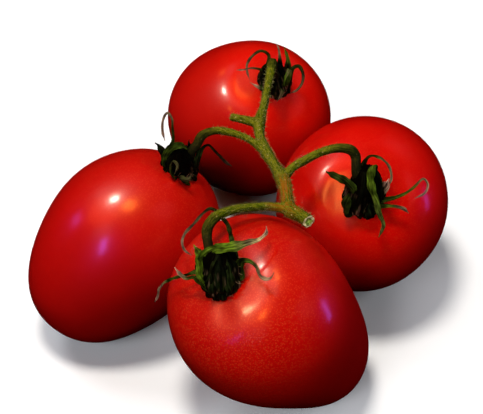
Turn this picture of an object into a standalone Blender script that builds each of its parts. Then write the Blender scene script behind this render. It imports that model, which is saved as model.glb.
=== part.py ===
"""A truss of ripe date tomatoes: four fruits that still hang together on one green stem, laid on a surface.

Each fruit is one turned solid with a dimple at its stem end and a small flat spot that it rests on. The stem is
a set of tapering tubes along smooth courses, fused together. Each calyx is a neck and a heart of shrivelled
tissue, with the dried sepals that stand up round it and curl out, fused together. Sizes are in millimetres.
"""

import math

import bmesh
import bpy
import numpy as np
from mathutils import Matrix, Vector

MM = 0.001
GAP = 0.3  # between pieces that touch on the real truss

# The middle of the truss, which the origin lies under.
TRUSS_MIDDLE = (-0.6, -7.4)

# The fruits. place: where the middle stands; faces and tilt: which way and how far the stem end leans, in
# degrees; form: how much fuller the stem end is, how blunt both ends are, and how much the waist is drawn in;
# oval: how much wider than round the fruit is one way, and which way that is about its own axis, in degrees.
FRUITS = {
    "back": dict(
        place=(2.6, 29.1),
        faces=-63,
        tilt=32.5,
        radius=18.6,
        half_length=23.4,
        form=(-0.05, 0.02, 0.045),
        oval=(0.045, 45),
    ),
    "right": dict(
        place=(27.1, -2.8),
        faces=-92,
        tilt=42,
        radius=19.7,
        half_length=25.1,
        form=(0.0, 0.08, -0.015),
        oval=(0.02, -28),
    ),
    "left": dict(
        place=(-26.1, -15.5),
        faces=25,
        tilt=42,
        radius=19.3,
        half_length=25.0,
        form=(-0.045, -0.005, -0.05),
        oval=(0.09, 11),
    ),
    "front": dict(
        place=(8.0, -40.2),
        faces=-147.6,
        tilt=36.2,
        radius=20.2,
        half_length=26.9,
        form=(0.177, 0.107, -0.043),
        oval=(0.049, 77),
    ),
}
DIMPLE_DEPTH = 0.10  # of the radius
DIMPLE_WIDTH = 0.42  # radians from the axis
FOLDS = 5
FOLD_DEPTH = 0.45
FOLD_RING = 6.5
FOLD_WIDTH = 3.0
FLAT_SINK = 0.2  # how far the soft skin flattens where the fruit rests
FRUIT_SIDES = 28
FRUIT_STEPS = 18

# The stem: points of each course with the stalk's radius there (x, y, z, radius). An arm runs from its fork on
# the main stalk to its knuckle, and its last point is the knuckle.
MAIN_STALK = [
    (14.8, -35.8, 49.6, 1.5),
    (12.3, -34.1, 50.4, 1.45),
    (10.0, -32.6, 50.8, 1.75),
    (9.6, -28.9, 50.8, 1.4),
    (8.8, -23.4, 50.6, 1.6),
    (7.0, -18.6, 50.5, 1.15),
    (5.3, -14.5, 50.5, 1.35),
    (4.0, -9.8, 50.8, 1.1),
    (3.9, -5.5, 51.0, 1.35),
    (4.9, -1.2, 51.6, 0.95),
]
ARMS = {
    "back": [
        (4.9, -1.2, 51.6, 0.95),
        (5.6, 3.7, 52.2, 0.9),
        (6.3, 8.5, 52.5, 1.0),
        (6.8, 12.4, 52.2, 1.2),
        (7.0, 14.0, 51.0, 1.2),
    ],
    "right": [
        (8.8, -23.4, 50.6, 1.2),
        (10.6, -20.6, 51.2, 1.0),
        (13.6, -18.9, 52.2, 0.95),
        (17.2, -17.7, 53.4, 0.95),
        (21.0, -17.0, 53.9, 1.05),
        (23.6, -16.9, 53.2, 1.2),
        (24.5, -17.2, 51.6, 1.15),
    ],
    "left": [
        (5.3, -14.5, 50.5, 1.05),
        (1.4, -10.9, 51.0, 0.85),
        (-2.5, -9.2, 51.4, 0.85),
        (-6.2, -8.5, 51.2, 0.9),
        (-8.6, -9.0, 50.2, 1.1),
        (-9.7, -10.2, 48.6, 1.1),
    ],
    "front": [
        (10.0, -32.6, 50.8, 1.2),
        (6.0, -32.6, 51.6, 0.95),
        (1.8, -33.7, 52.4, 0.95),
        (-2.4, -35.3, 53.0, 1.0),
        (-5.3, -37.1, 53.0, 1.1),
        (-6.9, -39.0, 52.0, 1.2),
        (-7.2, -40.0, 50.9, 1.15),
    ],
}
BARE_STUB = [
    (3.9, -6.1, 51.0, 1.2),
    (0.8, -5.0, 51.2, 0.95),
    (-2.3, -3.6, 50.8, 0.9),
]
CUT_SLANT = (0.6, -0.78, 0.1)  # the way the cut end faces
CUT_BACK = 0.8  # from the first point of the main stalk
STALK_SIDES = 8

# The calyces. Places are from the point where the stem meets the fruit (x, y, z). neck: from below the knuckle
# down, with its radius; heart: the shrivelled middle, with its radius; sepals: from the heart out to the tip,
# with the blade's width.
CALYCES = {
    "front": dict(
        neck=[
            (-2.5, 5.2, 6.4, 1.05),
            (-2.1, 3.1, 4.5, 1.2),
            (-1.0, 1.0, 2.0, 1.4),
            (0.0, 0.0, -0.5, 1.4),
        ],
        heart=[
            (0.2, 0.0, -1.6, 3.2),
            (0.3, 0.0, 0.8, 4.1),
            (0.3, 0.4, 4.0, 3.9),
            (-0.1, 1.2, 6.8, 3.2),
            (0.0, 1.6, 8.4, 1.8),
        ],
        sepals={
            "far_loop": [
                (1.5, 1.5, 0.0, 2.6),
                (3.4, 2.4, 4.0, 2.8),
                (3.0, 2.6, 7.2, 1.8),
                (2.5, 5.0, 7.4, 1.6),
                (1.5, 10.7, 6.7, 1.5),
                (0.5, 12.7, 6.6, 1.4),
                (-1.0, 15.2, 6.5, 1.2),
                (-2.2, 15.8, 6.5, 1.1),
                (-3.6, 14.8, 6.2, 1.0),
                (-5.5, 12.1, 5.8, 1.0),
                (-7.4, 10.4, 4.5, 0.9),
                (-8.0, 9.0, 3.5, 0.9),
                (-7.5, 6.5, 3.5, 0.8),
                (-6.0, 4.6, 3.8, 0.7),
            ],
            "cross": [
                (-2.0, 1.2, 0.5, 2.6),
                (-3.8, 1.4, 3.8, 2.8),
                (-3.6, 1.4, 6.8, 2.2),
                (-1.0, 1.0, 9.2, 2.0),
                (1.5, 0.5, 10.2, 2.2),
                (3.6, 0.4, 10.8, 2.0),
                (6.0, 1.5, 10.8, 1.2),
                (8.0, 3.0, 10.0, 0.9),
                (9.5, 5.0, 10.0, 0.8),
                (9.5, 6.5, 10.5, 0.7),
            ],
            "hook": [
                (2.2, -0.4, 0.0, 2.6),
                (4.0, -0.6, 3.6, 3.0),
                (4.2, -0.4, 7.0, 2.4),
                (6.0, -1.5, 8.3, 1.4),
                (7.5, -2.4, 7.5, 1.1),
                (8.2, -4.0, 6.5, 1.1),
                (9.5, -5.0, 6.5, 1.2),
                (10.5, -5.0, 7.0, 0.9),
                (11.0, -4.5, 8.0, 0.7),
            ],
            "left_blade": [
                (-2.2, -0.8, 0.0, 2.4),
                (-3.9, -0.8, 3.0, 2.4),
                (-4.2, 0.6, 5.0, 1.8),
                (-4.4, 2.4, 6.4, 1.4),
                (-5.5, 4.0, 7.5, 0.7),
            ],
            "left_curl": [
                (-2.0, -1.6, -0.6, 2.2),
                (-3.9, -0.9, 1.2, 2.0),
                (-5.5, 0.0, 2.0, 1.1),
                (-7.0, 0.2, 1.5, 1.0),
                (-8.5, 1.6, 1.5, 0.9),
                (-9.5, 2.5, 2.4, 0.7),
            ],
            "thread": [
                (-1.8, 1.4, 0.0, 2.0),
                (-4.2, 2.0, 1.6, 1.4),
                (-7.0, 2.2, 0.5, 0.8),
                (-10.0, 3.5, -2.0, 0.8),
                (-12.0, 5.0, -5.0, 0.7),
                (-13.0, 5.2, -7.0, 0.7),
                (-13.2, 5.4, -9.0, 0.7),
                (-14.0, 6.0, -11.6, 0.7),
            ],
            "front_tip": [
                (-0.8, -2.2, -1.0, 2.8),
                (-1.2, -3.8, 2.0, 3.2),
                (-1.0, -2.6, 5.6, 2.4),
                (-1.0, -1.4, 8.2, 1.6),
                (-1.6, -3.0, 8.4, 0.9),
                (-2.4, -4.6, 6.4, 0.7),
                (-3.5, -4.8, 4.6, 0.7),
            ],
            "front_fold": [
                (1.4, -2.0, -1.0, 2.8),
                (2.2, -3.6, 2.0, 3.4),
                (1.8, -2.8, 5.6, 2.8),
                (1.4, -1.0, 8.4, 1.2),
            ],
        },
    ),
    "left": dict(
        neck=[
            (1.6, -2.2, 8.0, 1.0),
            (1.0, -2.0, 6.2, 1.1),
            (0.2, -1.2, 3.5, 1.3),
            (0.0, 0.0, -0.5, 1.4),
        ],
        heart=[
            (0.0, 0.0, -1.6, 2.2),
            (-0.6, -0.8, 0.8, 3.3),
            (-1.4, -2.2, 4.0, 3.4),
            (-1.8, -3.0, 6.6, 3.0),
            (-1.6, -3.2, 8.8, 1.6),
        ],
        sepals={
            "loop": [
                (-1.6, 1.2, 0.0, 2.4),
                (-3.6, 0.0, 4.0, 2.6),
                (-3.2, -1.6, 8.0, 1.8),
                (-2.6, -1.6, 10.6, 1.0),
                (-2.8, -0.6, 12.6, 0.8),
                (-3.0, 1.5, 13.6, 0.7),
                (-4.0, 3.0, 13.8, 0.7),
                (-4.8, 1.6, 13.4, 0.7),
                (-5.0, 0.0, 11.6, 0.8),
                (-4.5, -1.5, 9.8, 0.8),
            ],
            "stub_tip": [
                (-2.2, -0.8, 0.0, 2.4),
                (-4.6, -2.2, 4.0, 2.6),
                (-4.8, -3.2, 7.6, 1.8),
                (-5.8, -3.0, 9.8, 1.3),
                (-6.6, -2.8, 10.4, 0.9),
            ],
            "collar": [
                (-1.8, -2.0, 0.0, 2.6),
                (-4.2, -4.4, 4.6, 2.8),
                (-4.4, -4.8, 8.4, 2.0),
                (-3.0, -4.2, 10.3, 1.8),
                (-1.0, -3.8, 10.5, 1.6),
                (0.4, -4.2, 9.8, 1.1),
            ],
            "right_tip": [
                (1.8, -0.6, 0.0, 2.4),
                (2.2, -3.0, 3.6, 2.4),
                (2.6, -2.8, 5.6, 1.6),
                (3.3, -0.9, 6.3, 1.4),
                (4.2, 0.3, 6.6, 0.8),
                (5.0, 1.2, 6.0, 0.7),
                (6.2, 1.2, 4.4, 0.8),
                (7.4, 1.8, 2.2, 0.9),
                (8.5, 2.8, -0.4, 1.0),
                (10.0, 3.6, -2.6, 0.9),
            ],
            "front_curl": [
                (-1.2, -2.4, -1.0, 2.6),
                (-2.6, -5.6, 3.0, 3.0),
                (-3.2, -6.8, 7.0, 2.0),
                (-2.4, -6.6, 8.6, 1.2),
                (-1.6, -7.6, 8.0, 1.0),
                (-2.4, -8.4, 6.2, 0.8),
            ],
            "low_curl": [
                (0.8, -2.4, -1.0, 2.6),
                (-0.2, -5.6, 1.8, 3.0),
                (-0.8, -7.6, 4.2, 2.0),
                (0.5, -8.0, 4.4, 1.2),
                (1.5, -7.5, 5.6, 0.8),
            ],
            "behind": [
                (1.2, 1.8, 0.0, 2.4),
                (1.4, 1.4, 4.0, 2.4),
                (0.6, 1.8, 7.0, 1.6),
                (1.2, 3.4, 8.8, 0.8),
            ],
        },
    ),
    "right": dict(
        neck=[
            (-2.0, -0.6, 9.8, 1.1),
            (-1.8, -1.2, 8.4, 1.2),
            (-0.8, -1.4, 5.0, 1.4),
            (0.0, 0.0, -0.5, 1.4),
        ],
        heart=[
            (-0.2, -0.4, -1.8, 3.2),
            (-0.2, -1.2, 0.6, 4.2),
            (0.1, -1.8, 4.0, 4.0),
            (0.4, -1.6, 7.0, 3.2),
            (0.2, -1.0, 9.4, 1.8),
        ],
        sepals={
            "left_thick": [
                (-1.8, -1.2, 0.0, 2.6),
                (-2.2, -3.8, 3.6, 2.8),
                (-2.6, -3.8, 6.0, 2.0),
                (-4.0, -3.0, 7.2, 1.6),
                (-6.0, -2.2, 8.0, 1.4),
                (-8.5, -1.2, 8.6, 1.2),
            ],
            "centre": [
                (1.2, -0.6, 0.6, 2.6),
                (2.6, -1.6, 5.0, 2.8),
                (1.8, -1.2, 8.8, 2.2),
                (1.5, -1.6, 10.6, 2.0),
                (1.0, -3.2, 10.0, 2.0),
                (1.2, -5.2, 7.6, 2.0),
                (2.2, -6.6, 5.0, 1.7),
                (3.0, -7.6, 2.4, 1.2),
                (4.0, -8.2, -0.6, 0.8),
                (3.6, -8.6, -2.2, 0.7),
                (3.0, -8.8, -3.8, 0.7),
            ],
            "arc": [
                (-0.4, 2.0, 0.6, 2.4),
                (-0.4, 2.2, 5.0, 2.4),
                (0.0, 2.4, 8.2, 1.4),
                (1.2, 2.0, 10.3, 0.8),
                (3.2, 1.0, 10.5, 0.8),
                (5.0, -0.5, 9.5, 0.8),
                (5.6, -2.0, 7.5, 0.8),
                (5.0, -3.0, 5.8, 0.7),
            ],
            "right_blade": [
                (2.0, 0.6, 0.0, 2.4),
                (3.8, -1.6, 3.0, 2.8),
                (4.4, -2.6, 5.6, 2.2),
                (5.0, -2.4, 7.6, 0.9),
            ],
            "ring_tip": [
                (1.6, -1.6, -0.6, 2.4),
                (3.8, -3.4, 2.2, 1.8),
                (6.5, -4.0, 3.6, 1.1),
                (8.5, -3.8, 4.6, 0.9),
                (10.5, -2.8, 5.6, 0.7),
                (12.5, -1.2, 6.4, 0.7),
                (13.5, -1.4, 5.0, 0.7),
                (13.0, -2.2, 3.4, 0.7),
                (10.8, -3.2, 2.6, 0.7),
            ],
            "low_tip": [
                (1.2, -2.0, -1.0, 2.2),
                (3.6, -4.0, 1.0, 1.4),
                (6.0, -4.2, 1.2, 0.9),
                (8.4, -4.2, 0.4, 0.9),
                (9.6, -4.0, -1.2, 0.8),
            ],
            "left_lobe": [
                (-1.8, -1.6, -1.2, 2.6),
                (-4.0, -4.0, -0.8, 2.6),
                (-4.2, -4.6, 2.0, 2.4),
                (-3.4, -3.8, 4.6, 1.6),
            ],
            "low_lobe": [
                (0.0, -2.4, -1.6, 2.8),
                (1.6, -4.8, -1.2, 2.8),
                (1.2, -5.2, 2.0, 2.6),
                (0.2, -4.6, 5.0, 1.6),
            ],
        },
    ),
    "back": dict(
        neck=[
            (-0.8, -4.0, 8.4, 1.1),
            (-0.6, -3.2, 6.4, 1.2),
            (-0.2, -1.4, 3.2, 1.4),
            (0.0, 0.0, -0.5, 1.4),
        ],
        heart=[
            (0.0, 0.0, -1.6, 2.2),
            (-0.2, -0.4, 0.6, 3.4),
            (-0.6, -0.8, 3.4, 3.3),
            (-0.8, -0.8, 5.4, 2.4),
            (-0.8, -0.6, 6.6, 1.4),
        ],
        sepals={
            "arc": [
                (-1.6, 1.4, 0.0, 2.4),
                (-2.8, 0.6, 3.4, 2.6),
                (-2.0, -0.4, 6.4, 1.8),
                (-1.8, 0.4, 8.8, 1.2),
                (-3.5, 0.8, 9.6, 1.1),
                (-5.5, 0.0, 8.6, 1.0),
                (-6.6, -1.4, 7.4, 1.0),
                (-6.5, -2.6, 6.0, 0.8),
                (-6.0, -3.5, 4.6, 0.7),
            ],
            "thread": [
                (-2.2, -0.4, 0.0, 2.2),
                (-3.6, -1.6, 3.6, 2.0),
                (-3.4, -2.6, 6.8, 1.0),
                (-5.4, -2.6, 7.4, 0.7),
                (-7.5, -2.2, 6.6, 0.7),
                (-9.0, -1.2, 5.6, 0.7),
            ],
            "left_tip": [
                (-1.8, -1.6, -0.4, 2.4),
                (-3.2, -3.6, 2.2, 2.4),
                (-4.4, -4.8, 3.8, 1.2),
                (-6.0, -4.2, 4.6, 0.7),
            ],
            "far_tip": [
                (0.6, 2.2, 0.2, 2.4),
                (0.8, 1.8, 4.0, 2.4),
                (0.8, 0.8, 7.6, 1.2),
                (0.5, 2.5, 9.0, 0.8),
                (0.0, 4.0, 9.0, 0.7),
            ],
            "top_blade": [
                (2.0, 0.8, 0.0, 2.4),
                (2.6, 0.4, 4.0, 2.4),
                (2.6, 0.2, 7.6, 1.4),
                (1.8, 2.8, 9.0, 0.7),
            ],
            "right_loop": [
                (2.0, -0.8, -0.4, 2.4),
                (3.2, -1.6, 3.6, 2.4),
                (3.8, -1.2, 6.2, 1.6),
                (5.0, -1.0, 6.6, 1.4),
                (6.0, -2.0, 5.2, 1.3),
                (5.8, -3.4, 3.6, 1.0),
                (4.6, -4.2, 2.2, 0.9),
                (3.0, -4.4, 1.4, 0.7),
            ],
            "near_tip": [
                (0.4, -2.4, -0.8, 2.4),
                (1.2, -4.0, 2.2, 2.0),
                (1.2, -6.0, 3.6, 1.6),
                (0.8, -6.8, 2.4, 1.0),
                (0.0, -7.2, 1.4, 0.7),
            ],
            "green_fold": [
                (1.4, -1.8, -0.4, 2.2),
                (2.2, -3.0, 3.6, 2.0),
                (2.9, -2.4, 6.8, 1.4),
                (2.2, -4.4, 6.2, 0.8),
            ],
        },
    ),
}
BLADE_THICKNESS = 0.65
BLADE_CHANNEL = 0.16  # how deep a sepal is folded along its middle, of its width
BLADE_SPACING = 1.5
HEART_SIDES = 10
TRUSS_SPACING = 2.2

# Colours (red, green, blue) in linear light.
SKIN_RED = (0.55, 0.008, 0.004)
STALK_GREEN = (0.10, 0.15, 0.03)
DRIED_OLIVE = (0.03, 0.04, 0.01)


def clear_scene():
    for obj in list(bpy.data.objects):
        bpy.data.objects.remove(obj)


def new_material(name, colour, roughness):
    material = bpy.data.materials.new(name)
    material.use_nodes = True
    shader = material.node_tree.nodes["Principled BSDF"]
    shader.inputs["Base Color"].default_value = (*colour, 1.0)
    shader.inputs["Roughness"].default_value = roughness
    shader.inputs["Metallic"].default_value = 0.0
    return material


def new_object(name, bm, parent=None, material=None):
    """An object from a bmesh in millimetres, with its faces turned out and shaded smooth."""
    bmesh.ops.recalc_face_normals(bm, faces=bm.faces)
    bmesh.ops.scale(bm, vec=(MM, MM, MM), verts=bm.verts)
    mesh = bpy.data.meshes.new(name)
    bm.to_mesh(mesh)
    bm.free()
    mesh.shade_smooth()
    obj = bpy.data.objects.new(name, mesh)
    bpy.context.scene.collection.objects.link(obj)
    obj.parent = parent
    if material:
        mesh.materials.append(material)
    return obj


def smooth_course(points, spacing):
    """Evenly spaced rows along one smooth curve through the given rows, whose first three values are the place."""
    knots = np.array(points, float)
    steps = np.sqrt(np.linalg.norm(np.diff(knots[:, :3], axis=0), axis=1))
    times = np.concatenate([[0.0], np.cumsum(steps)])
    slopes = np.gradient(knots, times, axis=0)
    fine = np.linspace(0.0, times[-1], 30 * len(knots))
    low = np.clip(np.searchsorted(times, fine, side="right") - 1, 0, len(times) - 2)
    span = (times[low + 1] - times[low])[:, None]
    part = (fine - times[low])[:, None] / span
    rise = part * part * (3 - 2 * part)
    curve = (1 - rise) * knots[low] + rise * knots[low + 1]
    curve += part * (1 - part) ** 2 * span * slopes[low]
    curve -= part * part * (1 - part) * span * slopes[low + 1]
    runs = np.linalg.norm(np.diff(curve[:, :3], axis=0), axis=1)
    run = np.concatenate([[0.0], np.cumsum(runs)])
    even = np.linspace(0.0, run[-1], max(3, round(run[-1] / spacing) + 1))
    return np.column_stack([np.interp(even, run, column) for column in curve.T])


def carried_frames(places, side):
    """The tangent, side and face directions along a course, with the side carried along it without a twist."""
    frames = []
    side = Vector(side)
    for tangent in np.gradient(places, axis=0):
        ahead = Vector(tangent).normalized()
        side = (side - side.dot(ahead) * ahead).normalized()
        frames.append((ahead, side, ahead.cross(side)))
    return frames


def loft(bm, rings):
    """One closed skin over a row of rings, split into triangles alike on both halves of the ring."""
    rows = [[bm.verts.new(point) for point in ring] for ring in rings]
    count = len(rows[0])
    for low, high in zip(rows, rows[1:]):
        for here in range(count):
            there = (here + 1) % count
            if here < count // 2:
                bm.faces.new((low[here], low[there], high[there]))
                bm.faces.new((low[here], high[there], high[here]))
            else:
                bm.faces.new((low[here], low[there], high[here]))
                bm.faces.new((low[there], high[there], high[here]))
    bm.faces.new(rows[0][::-1])
    bm.faces.new(rows[-1])


def round_rings(rows, sides):
    """A ring of points round each row of (x, y, z, radius), and the direction ahead there."""
    rings = []
    frames = carried_frames(rows[:, :3], Vector(rows[1][:3] - rows[0][:3]).orthogonal())
    for (x, y, z, radius), (_, side, face) in zip(rows.tolist(), frames):
        ring = []
        for step in range(sides):
            angle = 2 * math.pi * step / sides
            out = math.cos(angle) * side + math.sin(angle) * face
            ring.append(Vector((x, y, z)) + radius * out)
        rings.append(ring)
    return rings, [ahead for ahead, _, _ in frames]


def tube(bm, rows, sides):
    loft(bm, round_rings(rows, sides)[0])


def pedicel_rings(name, from_knuckle):
    """The rings of one pedicel on one side of its knuckle, with half the gap left there."""
    start = stem_end(FRUITS[name])
    neck = [(*(Vector(row[:3]) + start), row[3]) for row in CALYCES[name]["neck"]]
    rows = smooth_course(ARMS[name] + neck, TRUSS_SPACING)
    rings, ahead = round_rings(rows, STALK_SIDES)
    knuckle = int(np.argmin(np.linalg.norm(rows[:, :3] - ARMS[name][-1][:3], axis=1)))
    kept = rings[knuckle:] if from_knuckle else rings[: knuckle + 1]
    end = 0 if from_knuckle else -1
    shift = ahead[knuckle] * (GAP / 2 if from_knuckle else -GAP / 2)
    kept[end] = [point + shift for point in kept[end]]
    return kept


def blade(bm, rows, axis):
    """A sepal along rows of (x, y, z, width): a thin strip folded along its middle, its flat side to the axis."""
    rings = []
    outward = Vector(rows[1][:3])
    outward -= outward.dot(axis) * axis
    thick = BLADE_THICKNESS / 2
    frames = carried_frames(rows[:, :3], axis.cross(outward))
    for (x, y, z, width), (_, side, face) in zip(rows.tolist(), frames):
        middle = Vector((x, y, z))
        half = max(width / 2, thick)
        channel = BLADE_CHANNEL * width
        across = [(-half, thick), (0.0, thick - channel), (half, thick)]
        across += [(half, -thick), (0.0, -thick - channel), (-half, -thick)]
        rings.append([middle + wide * side + high * face for wide, high in across])
    loft(bm, rings)


def apply_boolean(body, operation, cutters):
    """Joins every object of a collection to the body, or cuts the body by them."""
    boolean = body.modifiers.new("boolean", "BOOLEAN")
    boolean.operation = operation
    boolean.operand_type = "COLLECTION"
    boolean.collection = cutters
    boolean.solver = "EXACT"
    graph = bpy.context.evaluated_depsgraph_get()
    mesh = bpy.data.meshes.new_from_object(body.evaluated_get(graph))
    body.modifiers.clear()
    body.data = mesh


def fused(name, makers, parent, material, cut_by=None):
    """One body from closed shapes that overlap, cut by another if given, with scraps and sealed hollows dropped."""
    shapes = []
    for number, make in enumerate(makers):
        bm = bmesh.new()
        make(bm)
        shapes.append(new_object(f"{name}_shape_{number}", bm))
    body, *others = shapes
    for operation, cutters in (("UNION", others), ("DIFFERENCE", [cut_by] if cut_by else [])):
        if not cutters:
            continue
        group = bpy.data.collections.new(name + "_group")
        bpy.context.scene.collection.children.link(group)
        for cutter in cutters:
            bpy.context.scene.collection.objects.unlink(cutter)
            group.objects.link(cutter)
        apply_boolean(body, operation, group)
        for cutter in cutters:
            bpy.data.objects.remove(cutter)
        bpy.data.collections.remove(group)
    bm = bmesh.new()
    bm.from_mesh(body.data)
    bpy.data.objects.remove(body)
    bmesh.ops.scale(bm, vec=(1 / MM, 1 / MM, 1 / MM), verts=bm.verts)
    bmesh.ops.triangulate(bm, faces=bm.faces)
    keep_largest_shell(bm)
    return new_object(name, bm, parent, material)


def keep_largest_shell(bm):
    bm.verts.ensure_lookup_table()
    unseen = set(bm.verts)
    shells = []
    while unseen:
        shell = {unseen.pop()}
        border = list(shell)
        while border:
            for edge in border.pop().link_edges:
                for vert in edge.verts:
                    if vert in unseen:
                        unseen.remove(vert)
                        shell.add(vert)
                        border.append(vert)
        shells.append(shell)
    largest = max(shells, key=len)
    spare = [vert for shell in shells if shell is not largest for vert in shell]
    bmesh.ops.delete(bm, geom=spare, context="VERTS")


def fruit_profile(fruit, turn):
    """Distance from the axis before scaling, and height over the radius, at an angle from the stem end."""
    fuller, blunt, waist = fruit["form"]
    width = math.sin(turn) * (
        1 + fuller * math.cos(turn) + blunt * math.cos(2 * turn) + waist * math.cos(3 * turn)
    )
    dimple = DIMPLE_DEPTH * math.exp(-((turn / DIMPLE_WIDTH) ** 2))
    return width, math.cos(turn) * fruit["half_length"] / fruit["radius"] - dimple


def fruit_turn(fruit):
    """How the fruit's axis leans, as a turn of +Z."""
    lean = Matrix.Rotation(math.radians(fruit["tilt"]), 4, "Y")
    return Matrix.Rotation(math.radians(fruit["faces"]), 4, "Z") @ lean


def fruit_oval(fruit):
    """How the fruit is wider one way than the other, about its own axis."""
    amount, degrees = fruit["oval"]
    way = Matrix.Rotation(math.radians(degrees), 4, "Z")
    return way @ Matrix.Diagonal((1 + amount, 1 - amount, 1, 1)) @ way.inverted()


def fruit_outline(fruit, steps):
    """Points (distance from the axis, height along it) from the stem end to the blossom end."""
    radius = fruit["radius"]
    widest = max(fruit_profile(fruit, math.pi * step / 180)[0] for step in range(181))
    rows = [fruit_profile(fruit, math.pi * step / steps) for step in range(steps + 1)]
    return [(radius * width / widest, radius * height) for width, height in rows]


def fruit_centre(fruit):
    """Where the middle of the fruit is, with its lowest point just under the surface that it rests on."""
    tilt = math.radians(fruit["tilt"])
    reach = math.sin(tilt) * Vector(fruit_oval(fruit).row[0][:2]).length
    lowest = min(height * math.cos(tilt) - width * reach for width, height in fruit_outline(fruit, 180))
    return Vector((*fruit["place"], -lowest - FLAT_SINK))


def stem_end(fruit):
    """Where the stem meets the fruit, at the bottom of the dimple."""
    height = fruit["half_length"] - DIMPLE_DEPTH * fruit["radius"]
    return fruit_centre(fruit) + fruit_turn(fruit) @ Vector((0, 0, height))


def fruit_body(fruit):
    """The fruit about its own axis, as a bmesh in millimetres, not yet cut flat below."""
    bm = bmesh.new()
    points = fruit_outline(fruit, FRUIT_STEPS)
    outline = [bm.verts.new((width, 0.0, height)) for width, height in points]
    edges = [bm.edges.new(pair) for pair in zip(outline, outline[1:])]
    bmesh.ops.spin(
        bm,
        geom=outline + edges,
        cent=(0, 0, 0),
        axis=(0, 0, 1),
        angle=2 * math.pi,
        steps=FRUIT_SIDES,
        use_merge=True,
    )
    bmesh.ops.remove_doubles(bm, verts=bm.verts, dist=0.01)
    for vert in bm.verts:
        reach = math.hypot(vert.co.x, vert.co.y)
        if vert.co.z > 0 and reach > 0.1:
            ripple = 0.5 - 0.5 * math.cos(FOLDS * math.atan2(vert.co.y, vert.co.x))
            vert.co.z -= FOLD_DEPTH * ripple * math.exp(-(((reach - FOLD_RING) / FOLD_WIDTH) ** 2))
    bm.transform(fruit_oval(fruit))
    return bm


def cut_off(bm, place, facing):
    """Cuts away all that lies beyond a plane, and closes the cut with one flat face."""
    cut = bmesh.ops.bisect_plane(
        bm,
        geom=bm.verts[:] + bm.edges[:] + bm.faces[:],
        plane_co=place,
        plane_no=facing,
        clear_outer=True,
    )
    rim = [item for item in cut["geom_cut"] if isinstance(item, bmesh.types.BMEdge)]
    bmesh.ops.contextual_create(bm, geom=rim)


def make_fruit(name, fruit, truss, material):
    bm = fruit_body(fruit)
    turn = fruit_turn(fruit)
    centre = fruit_centre(fruit)
    down = turn.inverted() @ Vector((0, 0, -1))
    cut_off(bm, down * centre.z, down)
    obj = new_object(name, bm, truss, material)
    obj.matrix_local = Matrix.Translation(centre * MM) @ turn


def skin_cutter(name, fruit):
    """The fruit grown by the gap, placed from its stem end, which cuts a calyx to sit in the dimple."""
    bm = fruit_body(fruit)
    bmesh.ops.recalc_face_normals(bm, faces=bm.faces)
    bm.normal_update()
    for vert in bm.verts:
        vert.co += vert.normal * GAP
    pole = fruit["half_length"] - DIMPLE_DEPTH * fruit["radius"]
    bm.transform(fruit_turn(fruit) @ Matrix.Translation((0, 0, -pole)))
    return new_object(name + "_cutter", bm)


def make_stem(truss, material):
    def main_stalk(bm):
        tube(bm, smooth_course(MAIN_STALK, TRUSS_SPACING), STALK_SIDES)
        facing = Vector(CUT_SLANT).normalized()
        cut_off(bm, Vector(MAIN_STALK[0][:3]) - facing * CUT_BACK, facing)

    def bare_stub(bm):
        tube(bm, smooth_course(BARE_STUB, TRUSS_SPACING), STALK_SIDES)

    makers = [main_stalk, bare_stub]
    for name in ARMS:
        makers.append(lambda bm, name=name: loft(bm, pedicel_rings(name, from_knuckle=False)))
    fused("truss_stem", makers, truss, material)


def make_calyx(name, truss, material):
    """The neck, the heart and the sepals of one fruit, about the point where the stem meets it."""
    calyx = CALYCES[name]
    start = stem_end(FRUITS[name])
    axis = fruit_turn(FRUITS[name]) @ Vector((0, 0, 1))

    def heart(bm):
        tube(bm, smooth_course(calyx["heart"], TRUSS_SPACING), HEART_SIDES)

    def neck(bm):
        rings = pedicel_rings(name, from_knuckle=True)
        loft(bm, [[point - start for point in ring] for ring in rings])

    def sepal(bm, points):
        blade(bm, smooth_course(points, BLADE_SPACING), axis)

    makers = [heart, neck]
    for points in calyx["sepals"].values():
        makers.append(lambda bm, points=points: sepal(bm, points))
    obj = fused("calyx_" + name, makers, truss, material, cut_by=skin_cutter(name, FRUITS[name]))
    obj.location = start * MM


def main():
    clear_scene()
    skin = new_material("tomato_skin", SKIN_RED, 0.25)
    green = new_material("stem_green", STALK_GREEN, 0.7)
    dried = new_material("dried_sepal", DRIED_OLIVE, 0.8)
    truss = bpy.data.objects.new("truss", None)
    bpy.context.scene.collection.objects.link(truss)
    truss.location = (-TRUSS_MIDDLE[0] * MM, -TRUSS_MIDDLE[1] * MM, 0.0)
    make_stem(truss, green)
    for name, fruit in FRUITS.items():
        make_fruit("fruit_" + name, fruit, truss, skin)
        make_calyx(name, truss, dried)


main()
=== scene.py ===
# %% [markdown]
# # A truss of date tomatoes
# Four ripe tomatoes still hang together on one green stem, as they were picked, and lie on a pale surface.
# The frame that is loaded first holds the measured solids: four fruits, one stem and four calyxes. This
# notebook dresses them: it makes each piece again with the detail that the eye looks for, gives it a
# finish, and lights it.

import math
import random

import bmesh
import bpy
import numpy as np
from mathutils import Matrix, Vector, noise
from mathutils.kdtree import KDTree


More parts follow.
